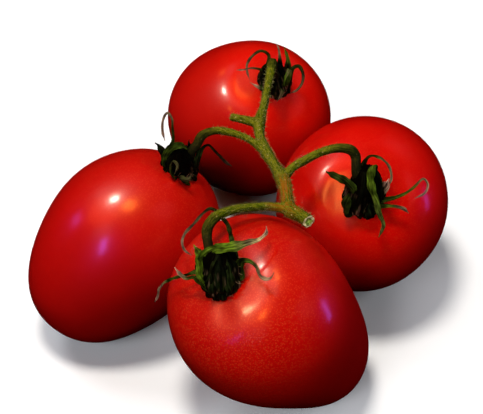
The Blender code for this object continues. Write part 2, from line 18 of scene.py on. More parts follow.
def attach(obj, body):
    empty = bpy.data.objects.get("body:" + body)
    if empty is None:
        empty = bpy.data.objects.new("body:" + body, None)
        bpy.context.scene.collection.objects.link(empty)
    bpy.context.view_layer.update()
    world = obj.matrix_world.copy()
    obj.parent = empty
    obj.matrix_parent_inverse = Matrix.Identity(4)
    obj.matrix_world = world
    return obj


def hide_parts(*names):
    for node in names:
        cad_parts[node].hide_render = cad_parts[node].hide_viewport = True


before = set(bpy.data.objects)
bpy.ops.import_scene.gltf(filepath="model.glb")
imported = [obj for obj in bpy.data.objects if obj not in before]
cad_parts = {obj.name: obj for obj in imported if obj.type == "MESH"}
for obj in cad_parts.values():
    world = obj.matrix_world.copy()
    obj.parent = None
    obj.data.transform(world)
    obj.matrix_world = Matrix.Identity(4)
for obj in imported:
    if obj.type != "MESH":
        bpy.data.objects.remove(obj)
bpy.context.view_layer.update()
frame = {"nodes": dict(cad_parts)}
MM = 0.001
print("frame:", ", ".join(frame["nodes"]))

# %% [markdown]
# ## The camera
# The photograph looks down on the truss from the cut end of the stem, through a long lens, so that the far
# fruit is hardly smaller than the near one. A camera is placed by how high it looks down from, how far away
# it is, and what it looks at. Its lens is then as long as it takes to fill the frame in the same way.

# %% Camera
LOOK_AT = Vector((0.6, 7.4, 20.0)) * MM
VIEW_ELEVATION = math.radians(44)
VIEW_DISTANCE = 583.8 * MM
LENS = 191.1
SENSOR_WIDTH = 36.0


def put_in_scene(name, data):
    """An object in the scene that shows a mesh, a camera or a lamp."""
    made = bpy.data.objects.new(name, data)
    bpy.context.scene.collection.objects.link(made)
    return made


def face_truss(made, way, distance):
    """Sets an object at a distance from the truss's middle, in one direction, and turns it to look there."""
    made.location = LOOK_AT + way * distance
    made.rotation_euler = (-way).to_track_quat("-Z", "Y").to_euler()


view = bpy.data.cameras.new("photo_view")
view.lens = LENS
view.sensor_width = SENSOR_WIDTH
camera = put_in_scene("photo_view", view)
face_truss(camera, Vector((0.0, -math.cos(VIEW_ELEVATION), math.sin(VIEW_ELEVATION))), VIEW_DISTANCE)
bpy.context.scene.camera = camera
print("camera at", [round(value, 3) for value in camera.location], "m")

# %% [markdown]
# ## Colours and nodes
# Colours are picked as sRGB hex values, as a paint chart gives them, and turned to the linear light that
# the renderer counts in. One function adds a shader node with its settings and links, so that a material
# reads as a list of what it is made of.


# %% Helpers for materials
def linear(code):
    """An sRGB hex colour such as "C81408" in linear light."""
    values = [int(code[start:start + 2], 16) / 255 for start in (0, 2, 4)]
    return (*[v / 12.92 if v <= 0.04045 else ((v + 0.055) / 1.055) ** 2.4 for v in values], 1.0)


def add(tree, kind, inputs=None, **settings):
    """A new node with its settings, and each input set to a value or linked to another node's output."""
    node = tree.nodes.new(kind)
    for key, value in settings.items():
        setattr(node, key, value)
    for key, value in (inputs or {}).items():
        if isinstance(value, bpy.types.NodeSocket):
            tree.links.new(value, node.inputs[key])
        else:
            node.inputs[key].default_value = value
    return node


def new_material(name, **shader_inputs):
    """A material with one Principled shader, and its tree to add nodes to."""
    material = bpy.data.materials.new(name)
    material.use_nodes = True
    shader = material.node_tree.nodes["Principled BSDF"]
    for key, value in shader_inputs.items():
        shader.inputs[key.replace("_", " ").title().replace("Ior", "IOR")].default_value = value
    return material, material.node_tree, shader


def per_mm(size):
    """The scale of a texture whose features are this many millimetres across."""
    return 1 / (size * MM)


def limits(*values):
    """The settings of a map range, which turns what lies between the first two values into the other two."""
    return dict(zip(("From Min", "From Max", "To Min", "To Max"), values))


print("ripe red in linear light:", [round(value, 4) for value in linear("C81408")[:3]])

# %% [markdown]
# ## From bmesh to piece
# Every piece is modelled in millimetres, because a sepal's 0.4 is easier to think about than 0.0004. It
# ends as a mesh in metres whose object stays at the origin. It then rides on the body that the truss is,
# takes the place of its plain solid, and gets its finish.


# %% Helpers for pieces
def make_piece(name, bm, material, replaced=None):
    """A finished piece of the truss from a bmesh in millimetres."""
    bmesh.ops.scale(bm, vec=(MM, MM, MM), verts=bm.verts)
    mesh = bpy.data.meshes.new(name)
    bm.to_mesh(mesh)
    bm.free()
    mesh.shade_smooth()
    mesh.materials.append(material)
    piece = put_in_scene(name, mesh)
    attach(piece, "root")
    if replaced:
        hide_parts(replaced)
    print(f"{name}: {len(mesh.polygons)} faces")
    return piece


def cut_away(bm, place, way):
    """Cuts off what lies past a place in one direction, and returns the faces that close the cut, if any."""
    whole = bm.verts[:] + bm.edges[:] + bm.faces[:]
    cut = bmesh.ops.bisect_plane(bm, geom=whole, plane_co=place, plane_no=way, clear_outer=True)
    rim = [item for item in cut["geom_cut"] if isinstance(item, bmesh.types.BMEdge)]
    return bmesh.ops.contextual_create(bm, geom=rim)["faces"]


def clamp(value, most=1.0):
    return min(most, max(0.0, value))


print("a piece is modelled in units of", MM, "m")

# %% [markdown]
# ## The fruits
# A date tomato is an egg whose stem end may be the fuller one, a little wider one way than the other. A
# turned profile gives that shape from a formula: three numbers say how full the stem end is, how blunt both
# ends are and how much the waist is drawn in. Spinning it makes a closed skin with no seam. The stem end
# sinks in a dimple with a few soft folds round it, and the soft fruit flattens where it rests.

# %% Fruit sizes
TRUSS_MIDDLE = Vector((-0.6, -7.4, 0.0))
# in millimetres and degrees: where it lies, which way its stem end faces and how far it leans, its size, its
# form as above, and how oval it is and which way
FRUITS = {
    "back": dict(
        place=(2.6, 29.1), faces=-63, tilt=32.5, radius=18.6, half_length=23.4,
        form=(-0.05, 0.02, 0.045), oval=(0.045, 45), dimple=(0.14, 0.6),
    ),
    "right": dict(
        place=(27.1, -2.8), faces=-92, tilt=42, radius=19.7, half_length=25.1,
        form=(0.0, 0.08, -0.015), oval=(0.02, -28),
    ),
    "left": dict(
        place=(-26.1, -15.5), faces=25, tilt=42, radius=19.3, half_length=25.0,
        form=(-0.045, -0.005, -0.05), oval=(0.09, 11),
    ),
    "front": dict(
        place=(8.0, -40.2), faces=-147.6, tilt=36.2, radius=20.2, half_length=26.9,
        form=(0.177, 0.107, -0.043), oval=(0.049, 77),
    ),
}
# a dimple's depth as a share of the radius, and its width in radians from the axis
DIMPLE = (0.10, 0.42)
FLAT_SINK = 0.2
LOWEST_STEPS = 180
print("fruit widths in mm:", {name: round(2 * fruit["radius"], 1) for name, fruit in FRUITS.items()})


# %% Fruit shape
def fruit_outline(fruit, steps):
    """Points (distance from the axis, height along it) from the stem end to the blossom end."""
    fuller, blunt, waist = fruit["form"]
    turn = np.linspace(0, math.pi, steps + 1)
    width = np.sin(turn) * (
        1 + fuller * np.cos(turn) + blunt * np.cos(2 * turn) + waist * np.cos(3 * turn)
    )
    depth, width_share = fruit.get("dimple", DIMPLE)
    dimple = depth * fruit["radius"] * np.exp(-((turn / width_share) ** 2))
    height = fruit["half_length"] * np.cos(turn) - dimple
    return list(zip((fruit["radius"] * width / width.max()).tolist(), height.tolist()))


def fruit_lean(fruit):
    lean = Matrix.Rotation(math.radians(fruit["tilt"]), 4, "Y")
    return Matrix.Rotation(math.radians(fruit["faces"]), 4, "Z") @ lean


def fruit_oval(fruit):
    amount, degrees = fruit["oval"]
    way = Matrix.Rotation(math.radians(degrees), 4, "Z")
    return way @ Matrix.Diagonal((1 + amount, 1 - amount, 1, 1)) @ way.inverted()


def fruit_centre(fruit):
    """The fruit's middle, with its lowest point just under the surface that it rests on."""
    tilt = math.radians(fruit["tilt"])
    reach = math.sin(tilt) * Vector(fruit_oval(fruit).row[0][:2]).length
    outline = fruit_outline(fruit, LOWEST_STEPS)
    lowest = min(height * math.cos(tilt) - width * reach for width, height in outline)
    return Vector((*fruit["place"], -lowest - FLAT_SINK)) - TRUSS_MIDDLE


def stem_end(fruit):
    height = fruit["half_length"] - DIMPLE[0] * fruit["radius"]
    return fruit_centre(fruit) + fruit_lean(fruit) @ Vector((0, 0, height))


for name, fruit in FRUITS.items():
    print("stem end in mm:", name, [round(value, 1) for value in stem_end(fruit)])

# %% [markdown]
# ## Ripe skin
# The skin is a clear waxy cuticle over red flesh. The flesh takes in all but red light and lets a little of
# that glow through, which the subsurface setting does. The wax gives a second, sharper gloss, which is the
# coat. Small golden flecks sit under the wax, dense near the stem and few at the far end, where a speck of
# brown cork marks the flower's place. The skin is not quite even either, so a faint bump breaks up the
# gloss. Each point keeps its place in the fruit's own frame, with the stem end up, so patterns can follow
# the fruit.

# %% Skin finish
FLECK_GOLD = "E8562A"
SCAR_BROWN = "5A2E14"
# real flecks are finer, and are drawn coarser so that they show
FLECK_SIZE = 0.42
# where the flecks begin and where they are strongest, as heights in half lengths of the fruit
FLECK_FADE = (0.15, 0.8)
FEWEST_FLECKS = 0.12
FLECK_EDGE = (0.1, 0.5)
MOTTLE_SIZE = 14.0
PEEL_SIZE = 0.9
PEEL_DEPTH = 0.03
GLOSS = 0.8
ROUGHENING = 0.5
SCAR_FROM, SCAR_TO = 0.05, 0.12
SCAR_SHARE = 0.8


def ripe_skin(name, half_length, flecks, ripe, shade):
    """Waxed tomato skin: a clear gloss over a softer one, with the red light glowing through."""
    material, tree, shader = new_material(
        "ripe_tomato_skin_" + name,
        roughness=0.42,
        ior=1.4,
        subsurface_weight=0.1,
        subsurface_scale=1.2 * MM,
        specular_ior_level=0.35,
        coat_weight=GLOSS - ROUGHENING * flecks,
        coat_roughness=0.2,
        coat_ior=1.45,
    )
    shader.inputs["Subsurface Radius"].default_value = (1.0, 0.12, 0.06)
    own = add(tree, "ShaderNodeAttribute", attribute_name="own_place").outputs["Vector"]
    height = add(tree, "ShaderNodeSeparateXYZ", {"Vector": own}).outputs["Z"]
    mottle = add(tree, "ShaderNodeTexNoise", {"Vector": own, "Scale": per_mm(MOTTLE_SIZE), "Detail": 3.0})
    start, full = (share * half_length * MM for share in FLECK_FADE)
    fade = limits(start, full, FEWEST_FLECKS * flecks, flecks)
    strength = add(tree, "ShaderNodeMapRange", {"Value": height, **fade})
    dots = add(tree, "ShaderNodeTexVoronoi", {"Vector": own, "Scale": per_mm(FLECK_SIZE)})
    spot = limits(*FLECK_EDGE, strength.outputs["Result"], 0.0)
    fleck = add(tree, "ShaderNodeMapRange", {"Value": dots.outputs["Distance"], **spot})
    near, far = (SCAR_FROM - half_length) * MM, (SCAR_TO - half_length) * MM
    cork = limits(near, far, SCAR_SHARE, 0.0)
    scar = add(tree, "ShaderNodeMapRange", {"Value": height, **cork})
    colour = linear(shade)
    shares = (mottle.outputs["Fac"], fleck.outputs["Result"], scar.outputs["Result"])
    for share, code in zip(shares, (ripe, FLECK_GOLD, SCAR_BROWN)):
        layer = {"Factor": share, "A": colour, "B": linear(code)}
        colour = add(tree, "ShaderNodeMix", layer, data_type="RGBA").outputs["Result"]
    tree.links.new(colour, shader.inputs["Base Color"])
    peel = add(tree, "ShaderNodeTexNoise", {"Vector": own, "Scale": per_mm(PEEL_SIZE), "Detail": 2.0})
    relief = {"Height": peel.outputs["Fac"], "Strength": 0.35, "Distance": PEEL_DEPTH * MM}
    bump = add(tree, "ShaderNodeBump", relief)
    for key in ("Normal", "Coat Normal"):
        tree.links.new(bump.outputs["Normal"], shader.inputs[key])
    return material


print("flecks and peel in mm:", FLECK_SIZE, PEEL_SIZE)

# %% [markdown]
# ## Make the fruits
# The outline is spun into a skin, and its points are then moved: a cosine round the stem presses soft folds
# in beside the calyx, one scaling makes the fruit oval, and slow noise gives it lumps that are felt more
# than seen. Last, what would sink below the surface is cut off flat. The reds are a ripe tone and a shade
# that mottle each other. The back and right fruits get lighter reds than the left and front: partly a real
# difference between the fruits, and partly painted light, for the brighter light that fell on those two.

# %% Make the fruits
FLECKS = {"back": 0.14, "right": 0.14, "left": 0.2, "front": 0.28}
# the back and right fruits' lighter reds are partly painted light, the left and front's darker reds partly
# painted shade
REDS = {
    "back": ("D60D03", "BC0502"),
    "right": ("D20903", "B80302"),
    "left": ("C40903", "AA0402"),
    "front": ("BE0803", "A40402"),
}
# how many folds, how deep, how far from the stem, how wide, and turned by how many degrees
FOLDS = {
    "back": (3, 0.5, 6.5, 3.0, 60.0),
    "right": (2, 0.5, 6.5, 3.0, 0.0),
    "left": (5, 0.2, 6.5, 3.0, 0.0),
    "front": (5, 0.25, 7.0, 3.5, 20.0),
}
LUMP_SIZE = 16.0
LUMP_HEIGHT = 0.2
LUMP_MIDDLE = 0.75
SKIN_SIDES = 128
SKIN_STEPS = 88
POLE_REACH = 0.1
MERGE = 0.01


def fruit_skin(fruit, folds):
    """The fruit in millimetres, turned from its outline, with folds, an oval waist and faint lumps."""
    count, depth, ring, width, turn = folds
    bm = bmesh.new()
    outline = [bm.verts.new((reach, 0.0, height)) for reach, height in fruit_outline(fruit, SKIN_STEPS)]
    edges = [bm.edges.new(pair) for pair in zip(outline, outline[1:])]
    full_turn = dict(angle=2 * math.pi, steps=SKIN_SIDES, use_merge=True)
    bmesh.ops.spin(bm, geom=outline + edges, cent=(0, 0, 0), axis=(0, 0, 1), **full_turn)
    bmesh.ops.remove_doubles(bm, verts=bm.verts, dist=MERGE)
    bmesh.ops.recalc_face_normals(bm, faces=bm.faces)
    own = bm.verts.layers.float_vector.new("own_place")
    for vert in bm.verts:
        vert[own] = vert.co * MM
        reach = math.hypot(vert.co.x, vert.co.y)
        if vert.co.z > 0 and reach > POLE_REACH:
            around = math.atan2(vert.co.y, vert.co.x) - math.radians(turn)
            ripple = 0.5 - 0.5 * math.cos(count * around)
            vert.co.z -= depth * ripple * math.exp(-(((reach - ring) / width) ** 2))
    bm.transform(fruit_oval(fruit))
    bm.normal_update()
    for vert in bm.verts:
        lump = noise.noise(vert.co / LUMP_SIZE + Vector(fruit["place"]).to_3d())
        vert.co += vert.normal * LUMP_HEIGHT * (lump - LUMP_MIDDLE)
    return bm


for name, fruit in FRUITS.items():
    bm = fruit_skin(fruit, FOLDS[name])
    bm.transform(Matrix.Translation(fruit_centre(fruit)) @ fruit_lean(fruit))
    cut_away(bm, (0, 0, 0), (0, 0, -1))
    skin = ripe_skin(name, fruit["half_length"], FLECKS[name], *REDS[name])
    make_piece("ripe_fruit_" + name, bm, skin, "fruit_" + name)

# %% [markdown]
# ## Smooth courses
# Stalks and sepals follow courses: a few listed points, with a width at each, and a smooth curve
# through them. A skin is made by extruding a small ring of edges from place to place along the course. The
# ring's sideways direction is carried along with the least turning, as a ribbon would be, so that nothing
# twists by accident.

# %% Courses and sweeps
CURVE_STEPS = 30
FACE_PULL = 0.16


def smooth_course(points, spacing):
    """Evenly spaced rows along a smooth curve through the given rows. Three values are the place."""
    knots = np.array(points, float)
    steps = np.sqrt(np.linalg.norm(np.diff(knots[:, :3], axis=0), axis=1))
    times = np.concatenate([[0.0], np.cumsum(steps)])
    slopes = np.gradient(knots, times, axis=0)
    fine = np.linspace(0.0, times[-1], CURVE_STEPS * len(knots))
    low = np.clip(np.searchsorted(times, fine, side="right") - 1, 0, len(times) - 2)
    span = (times[low + 1] - times[low])[:, None]
    part = (fine - times[low])[:, None] / span
    rise = part * part * (3 - 2 * part)
    curve = (1 - rise) * knots[low] + rise * knots[low + 1]
    curve += part * (1 - part) ** 2 * span * slopes[low]
    curve -= part * part * (1 - part) * span * slopes[low + 1]
    runs = np.linalg.norm(np.diff(curve[:, :3], axis=0), axis=1)
    run = np.concatenate([[0.0], np.cumsum(runs)])
    even = np.linspace(0.0, run[-1], max(3, round(run[-1] / spacing) + 1))
    return np.column_stack([np.interp(even, run, column) for column in curve.T])


def course_places(rows, side, widths, heights, twist=None, upward=None):
    """A placement for a unit section at each row: where it is, which way it faces and how large it is."""
    places = []
    side = Vector(side)
    for number, (place, tangent) in enumerate(zip(rows[:, :3], np.gradient(rows[:, :3], axis=0))):
        ahead = Vector(tangent).normalized()
        side = (side - side.dot(ahead) * ahead).normalized()
        if upward:
            level = upward.cross(ahead)
            side = (side + FACE_PULL * level * math.copysign(1.0, level.dot(side))).normalized()
        face = ahead.cross(side)
        basis = Matrix((side, face, ahead)).transposed().to_4x4()
        if twist is not None:
            basis = basis @ Matrix.Rotation(float(twist[number]), 4, "Z")
        size = Matrix.Diagonal((float(widths[number]), float(heights[number]), 1, 1))
        places.append(Matrix.Translation(place) @ basis @ size)
    return places


def sweep(bm, section, places):
    """A closed skin: a ring of edges in the form of the section, extruded from each placement to the next."""
    ring = [bm.verts.new(places[0] @ Vector((x, y, 0.0))) for x, y in section]
    loop = [bm.edges.new(pair) for pair in zip(ring, ring[1:] + ring[:1])]
    bm.faces.new(ring[::-1])
    rings = [ring]
    for here, there in zip(places, places[1:]):
        grown = bmesh.ops.extrude_edge_only(bm, edges=loop)["geom"]
        fresh = [item for item in grown if isinstance(item, bmesh.types.BMVert)]
        bmesh.ops.transform(bm, matrix=there @ here.inverted(), verts=fresh)
        known = set(fresh)
        loop = [e for e in grown if isinstance(e, bmesh.types.BMEdge) and known.issuperset(e.verts)]
        rings.append(fresh)
    bmesh.ops.edgeloop_fill(bm, edges=loop)
    return rings


def circle(sides):
    return [(math.cos(2 * math.pi * n / sides), math.sin(2 * math.pi * n / sides)) for n in range(sides)]


print("a square of unit radius as a section:", [tuple(round(v, 1) for v in point) for point in circle(4)])

# %% [markdown]
# ## The stem
# The main stalk forks to an arm for each fruit, and every arm ends in a knuckle, the joint where a ripe
# fruit breaks off. Below it a short thick neck, dried dark, leads down to the fruit. A stub is left of one
# more branch. Each row below is a place and a radius in millimetres.

# %% Stem courses
MAIN_STALK = [
    (14.8, -35.8, 49.6, 1.5), (12.3, -34.1, 50.4, 1.45), (10.0, -32.6, 50.8, 1.75), (9.6, -28.9, 50.8, 1.4),
    (8.8, -23.4, 50.6, 1.6), (7.0, -18.6, 50.5, 1.15), (5.3, -14.5, 50.5, 1.35), (4.0, -9.8, 50.8, 1.1),
    (3.9, -5.5, 51.0, 1.35), (4.9, -1.2, 51.6, 0.95),
]
ARMS = {
    "back": [
        (4.9, -1.2, 51.6, 0.95), (5.6, 3.7, 52.2, 0.9), (6.3, 8.5, 52.5, 1.0), (6.8, 12.4, 52.2, 1.2),
        (7.0, 14.0, 51.0, 1.2),
    ],
    "right": [
        (8.8, -23.4, 50.6, 1.2), (10.6, -20.6, 51.2, 1.0), (13.6, -18.9, 52.2, 0.95),
        (17.2, -17.7, 53.4, 0.95), (21.0, -17.0, 53.9, 1.05), (23.6, -16.9, 53.2, 1.2),
        (24.5, -17.2, 51.6, 1.15),
    ],
    "left": [
        (5.3, -14.5, 50.5, 1.05), (1.4, -10.9, 51.0, 0.85), (-2.5, -9.2, 51.4, 0.85),
        (-6.2, -8.5, 51.2, 0.9), (-8.6, -9.0, 50.2, 1.1), (-9.7, -10.2, 48.6, 1.1),
    ],
    "front": [
        (10.0, -32.6, 50.8, 1.2), (6.0, -32.6, 51.6, 0.95), (1.8, -33.7, 52.4, 0.95),
        (-2.4, -35.3, 53.0, 1.0), (-5.3, -37.1, 53.0, 1.1), (-6.9, -39.0, 52.0, 1.2),
        (-7.2, -40.0, 50.9, 1.15),
    ],
}
BARE_STUB = [(3.9, -6.1, 51.0, 1.2), (0.8, -5.0, 51.2, 0.95), (-2.3, -3.6, 50.8, 0.9)]
# these rows start from the fruit's stem end, and all necks share the last one
CALYX_NECKS = {
    "front": [(-2.5, 5.2, 6.4, 1.05), (-2.1, 3.1, 4.5, 1.2), (-1.0, 1.0, 2.0, 1.4)],
    "left": [(1.6, -2.2, 8.0, 1.0), (1.0, -2.0, 6.2, 1.1), (0.2, -1.2, 3.5, 1.3)],
    "right": [(-2.0, -0.6, 9.8, 1.1), (-1.8, -1.2, 8.4, 1.2), (-0.8, -1.4, 5.0, 1.4)],
    "back": [(-0.8, -4.0, 8.4, 1.1), (-0.6, -3.2, 6.4, 1.2), (-0.2, -1.4, 3.2, 1.4)],
}
NECK_FOOT = (0.0, 0.0, -0.5, 1.4)


def neck_course(name):
    """The thick dried stretch from the knuckle down to the fruit, in the truss's own frame."""
    start = stem_end(FRUITS[name]) + TRUSS_MIDDLE
    return [(*(Vector(row[:3]) + start), row[3]) for row in [*CALYX_NECKS[name], NECK_FOOT]]


print("stem arms:", ", ".join(ARMS))

# %% [markdown]
# ## Stem green
# The stem is a fibrous green stalk, with a few brown streaks by the front fork and small pale scars. Its side
# that faces the light is painted paler, and the side away from it darker, as painted light and shade. Near
# each knuckle the tissue has dried dark. Noise that is stretched along the stalk gives the fibres: every
# point knows where it would be if the stalk were pulled straight, and the pattern is read there. The cut end
# has two finishes of its own, a dry pale rim and moist pith with open vessels, whose open ends are painted
# dark as the shade in them.

# %% Stem finish
STALK_OLIVE = "384402"
STALK_PALE = "6E6A16"
STALK_DARK = "0E1602"
STALK_BROWN = "8A480C"
STALK_SCAR = "B89E60"
KNUCKLE_DARK = "0C0F08"
CUT_CREAM = "F2E8B8"
PITH_GREEN = "94AA48"
PORE_SHADE_BLACK = "0A0C04"
FIBRE_WIDTH = 0.26
FIBRE_STRETCH = 0.3
FIBRE_DEPTH = 0.15
STREAK_WIDTH = 0.45
STREAK_STRETCH = 0.07
# painted light: how much paler the stalk is painted on its side towards the light
PAINTED_LIGHT_SHARE = 0.3
SCAR_SIZE = 1.3
# real vessels are finer, and are drawn coarser so that they show
PORE_SIZE = 0.8
PORE_DEPTH = 0.3
STALK_MARKS = ("dried", "painted_light_side", "browned")


def stalk_skin():
    """Living stalk: matt and fibrous, with next to no gloss."""
    material, tree, shader = new_material("tomato_stalk", roughness=0.68, specular_ior_level=0.12)
    own = add(tree, "ShaderNodeAttribute", attribute_name="straight_place").outputs["Vector"]
    marks = [add(tree, "ShaderNodeAttribute", attribute_name=key).outputs["Fac"] for key in STALK_MARKS]
    dried, painted_light_side, browned = marks
    drawn = add(tree, "ShaderNodeMapping", {"Vector": own, "Scale": (1.0, 1.0, FIBRE_STRETCH)})
    threads = {"Vector": drawn.outputs["Vector"], "Scale": per_mm(FIBRE_WIDTH), "Detail": 4.0}
    fibre = add(tree, "ShaderNodeTexNoise", threads)
    # painted light: the stalk's colour is mixed paler where it faces the light
    light_paint_mix = {"Factor": PAINTED_LIGHT_SHARE, "A": fibre.outputs["Fac"], "B": painted_light_side}
    both = add(tree, "ShaderNodeMix", light_paint_mix, data_type="FLOAT")
    tones = add(tree, "ShaderNodeValToRGB", {"Fac": both.outputs["Result"]})
    dark, pale = tones.color_ramp.elements
    dark.position, pale.position = 0.38, 0.7
    dark.color, pale.color = linear(STALK_DARK), linear(STALK_PALE)
    tones.color_ramp.elements.new(0.54).color = linear(STALK_OLIVE)
    long_way = add(tree, "ShaderNodeMapping", {"Vector": own, "Scale": (1.0, 1.0, STREAK_STRETCH)})
    strokes = {"Vector": long_way.outputs["Vector"], "Scale": per_mm(STREAK_WIDTH), "Detail": 1.0}
    streaks = add(tree, "ShaderNodeTexNoise", strokes)
    sharp = limits(0.42, 0.55)
    streak = add(tree, "ShaderNodeMapRange", {"Value": streaks.outputs["Fac"], **sharp})
    brown = add(tree, "ShaderNodeMath", {0: streak.outputs["Result"], 1: browned}, operation="MULTIPLY")
    scars = add(tree, "ShaderNodeTexVoronoi", {"Vector": own, "Scale": per_mm(SCAR_SIZE)})
    speck = limits(0.06, 0.17, 0.7, 0.0)
    scar = add(tree, "ShaderNodeMapRange", {"Value": scars.outputs["Distance"], **speck})
    colour = tones.outputs["Color"]
    shares = (brown.outputs["Value"], scar.outputs["Result"], dried)
    for share, code in zip(shares, (STALK_BROWN, STALK_SCAR, KNUCKLE_DARK)):
        layer = {"Factor": share, "A": colour, "B": linear(code)}
        colour = add(tree, "ShaderNodeMix", layer, data_type="RGBA").outputs["Result"]
    tree.links.new(colour, shader.inputs["Base Color"])
    relief = {"Height": fibre.outputs["Fac"], "Strength": 0.8, "Distance": FIBRE_DEPTH * MM}
    bump = add(tree, "ShaderNodeBump", relief)
    tree.links.new(bump.outputs["Normal"], shader.inputs["Normal"])
    return material


def cut_rim():
    """The torn skin round the cut: dry, pale and fibrous."""
    material, tree, shader = new_material("dried_cut_rim", roughness=0.7)
    own = add(tree, "ShaderNodeAttribute", attribute_name="straight_place").outputs["Vector"]
    threads = {"Vector": own, "Scale": per_mm(FIBRE_WIDTH), "Detail": 2.0}
    fibre = add(tree, "ShaderNodeTexNoise", threads)
    layer = {"Factor": fibre.outputs["Fac"], "A": linear(STALK_SCAR), "B": linear(CUT_CREAM)}
    tone = add(tree, "ShaderNodeMix", layer, data_type="RGBA")
    tree.links.new(tone.outputs["Result"], shader.inputs["Base Color"])
    return material


def cut_pith():
    """The cut face: green pith, with the open ends of the vessels painted near black as the shade inside
    them.
    """
    material, tree, shader = new_material("cut_pith", roughness=0.6)
    own = add(tree, "ShaderNodeAttribute", attribute_name="straight_place").outputs["Vector"]
    pores = add(tree, "ShaderNodeTexVoronoi", {"Vector": own, "Scale": per_mm(PORE_SIZE)})
    # painted shade: the open vessel ends are coloured near black for the shade in their holes
    hole = limits(0.3, 0.4, 1.0, 0.0)
    open_end = add(tree, "ShaderNodeMapRange", {"Value": pores.outputs["Distance"], **hole})
    layer = {"Factor": open_end.outputs["Result"], "A": linear(PITH_GREEN), "B": linear(PORE_SHADE_BLACK)}
    tone = add(tree, "ShaderNodeMix", layer, data_type="RGBA")
    tree.links.new(tone.outputs["Result"], shader.inputs["Base Color"])
    relief = {"Height": open_end.outputs["Result"], "Strength": 1.0, "Distance": PORE_DEPTH * MM}
    bump = add(tree, "ShaderNodeBump", relief, invert=True)
    tree.links.new(bump.outputs["Normal"], shader.inputs["Normal"])
    return material


stalk_material = stalk_skin()
print("finish:", stalk_material.name)

# %% [markdown]
# ## One skin for the stem
# Forks are webs of flesh with no crease. Tubes that merely cross would show one, so they are joined by a
# voxel remesh, which wraps all of them in one even skin, and smoothing then fills the corners. A search
# tree finds for each point of the new skin the nearest place on a course, which tells it where it is on the
# straightened stalk.

# %% Tubes, skin and marks
STALK_SIDES = 20
STALK_STEP = 0.6
VOXEL = 0.2
COURSE_GAP = 40.0
DRIED_REACH = 7.0
DRIED_CURVE = 0.4
# the way the light comes from; the stalk is painted paler on that side, as painted light
PAINTED_LIGHT_WAY = Vector((-0.6, -0.1, 0.8)).normalized()
BROWN_PLACE = Vector(MAIN_STALK[3][:3])
BROWN_REACH = 6.5
BROWN_CURVE = 0.5
RIDGE_HEIGHT = 0.16
RIDGE_MIDDLE = 0.2
RIDGES = 2.4
RIDGE_STRETCH = 0.3


def tube(bm, points):
    """A round stalk along rows of (x, y, z, radius)."""
    rows = smooth_course(points, STALK_STEP)
    side = Vector(rows[1][:3] - rows[0][:3]).orthogonal()
    sweep(bm, circle(STALK_SIDES), course_places(rows, side, rows[:, 3], rows[:, 3]))
    return rows


def remeshed(bm):
    """One even skin round everything in the bmesh."""
    mesh = bpy.data.meshes.new("draft")
    bm.to_mesh(mesh)
    bm.free()
    draft = put_in_scene("draft", mesh)
    wrap = draft.modifiers.new("wrap", "REMESH")
    wrap.mode = "VOXEL"
    wrap.voxel_size = VOXEL
    graph = bpy.context.evaluated_depsgraph_get()
    wrapped = bmesh.new()
    wrapped.from_mesh(draft.evaluated_get(graph).to_mesh())
    bpy.data.objects.remove(draft)
    return wrapped


def nearest_finder(places):
    tree = KDTree(len(places))
    for number, place in enumerate(places):
        tree.insert(place, number)
    tree.balance()
    return tree


def mark_stalk(bm, courses, dried_ends):
    """Gives each point its place along the straightened stalk, how dried it is, and a ridged surface."""
    straight = bm.verts.layers.float_vector.new("straight_place")
    dried, painted_light_side, browned = (bm.verts.layers.float.new(key) for key in STALK_MARKS)
    rows = []
    for number, course in enumerate(courses):
        run = 0.0
        side = Vector(course[1][:3] - course[0][:3]).orthogonal()
        for place, tangent in zip(course[:, :3], np.gradient(course[:, :3], axis=0)):
            ahead = Vector(tangent).normalized()
            side = (side - side.dot(ahead) * ahead).normalized()
            run += Vector(tangent).length
            rows.append((Vector(place), side.copy(), ahead.cross(side), run + COURSE_GAP * number))
    nearest_row = nearest_finder([row[0] for row in rows])
    nearest_dried = nearest_finder(dried_ends)
    bm.normal_update()
    for vert in bm.verts:
        place, side, face, run = rows[nearest_row.find(vert.co)[1]]
        away = vert.co - place
        local = Vector((away.dot(side), away.dot(face), run + away.dot(side.cross(face))))
        vert[straight] = local * MM
        vert[dried] = clamp(1.0 - nearest_dried.find(vert.co)[2] / DRIED_REACH) ** DRIED_CURVE
        # painted light: paler on the side that faces the light, darker on the side away from it
        vert[painted_light_side] = 0.5 + 0.5 * vert.normal.dot(PAINTED_LIGHT_WAY)
        vert[browned] = clamp(1.0 - (vert.co - BROWN_PLACE).length / BROWN_REACH) ** BROWN_CURVE
        around = Vector((local.x, local.y, 0.0)).normalized() * RIDGES
        around.z = local.z * RIDGE_STRETCH
        vert.co += vert.normal * RIDGE_HEIGHT * (noise.noise(around) - RIDGE_MIDDLE)


print("voxels in mm:", VOXEL)

# %% [markdown]
# ## The cut end and the hairs
# The stem was snipped off on the slant. The cut plane leaves one face. Insetting it twice gives the ring of
# dry skin and the short wall down to the sunken pith, and noise frays the ring. A tomato stalk is also
# downy: short pale hairs stand off its living part, each a three-sided cone whose foot is sunk in the skin.

# %% Cut end and hairs
CUT_SLANT = Vector((0.6, -0.78, 0.1)).normalized()
CUT_BACK = 0.8
RIM_WIDTH = 0.42
RIM_DEPTH = 0.12
WALL_WIDTH = 0.06
TEAR_SIZE = 0.8
TEAR = 0.35
# with no seed set, this kind of noise follows the clock, and the tear would be another one each time
TEAR_SEED = 1795629013
HAIRS = 2200
HAIR_SEED = 11
HAIR_GREY = "8E8C54"
HAIR_LENGTHS = (0.3, 0.8)
# real hairs are thinner, and are drawn coarser so that they show
HAIR_WIDTH = 0.07
HAIR_LEAN = 0.5
HAIR_SUNK = 0.1
HAIR_TAPER = 6


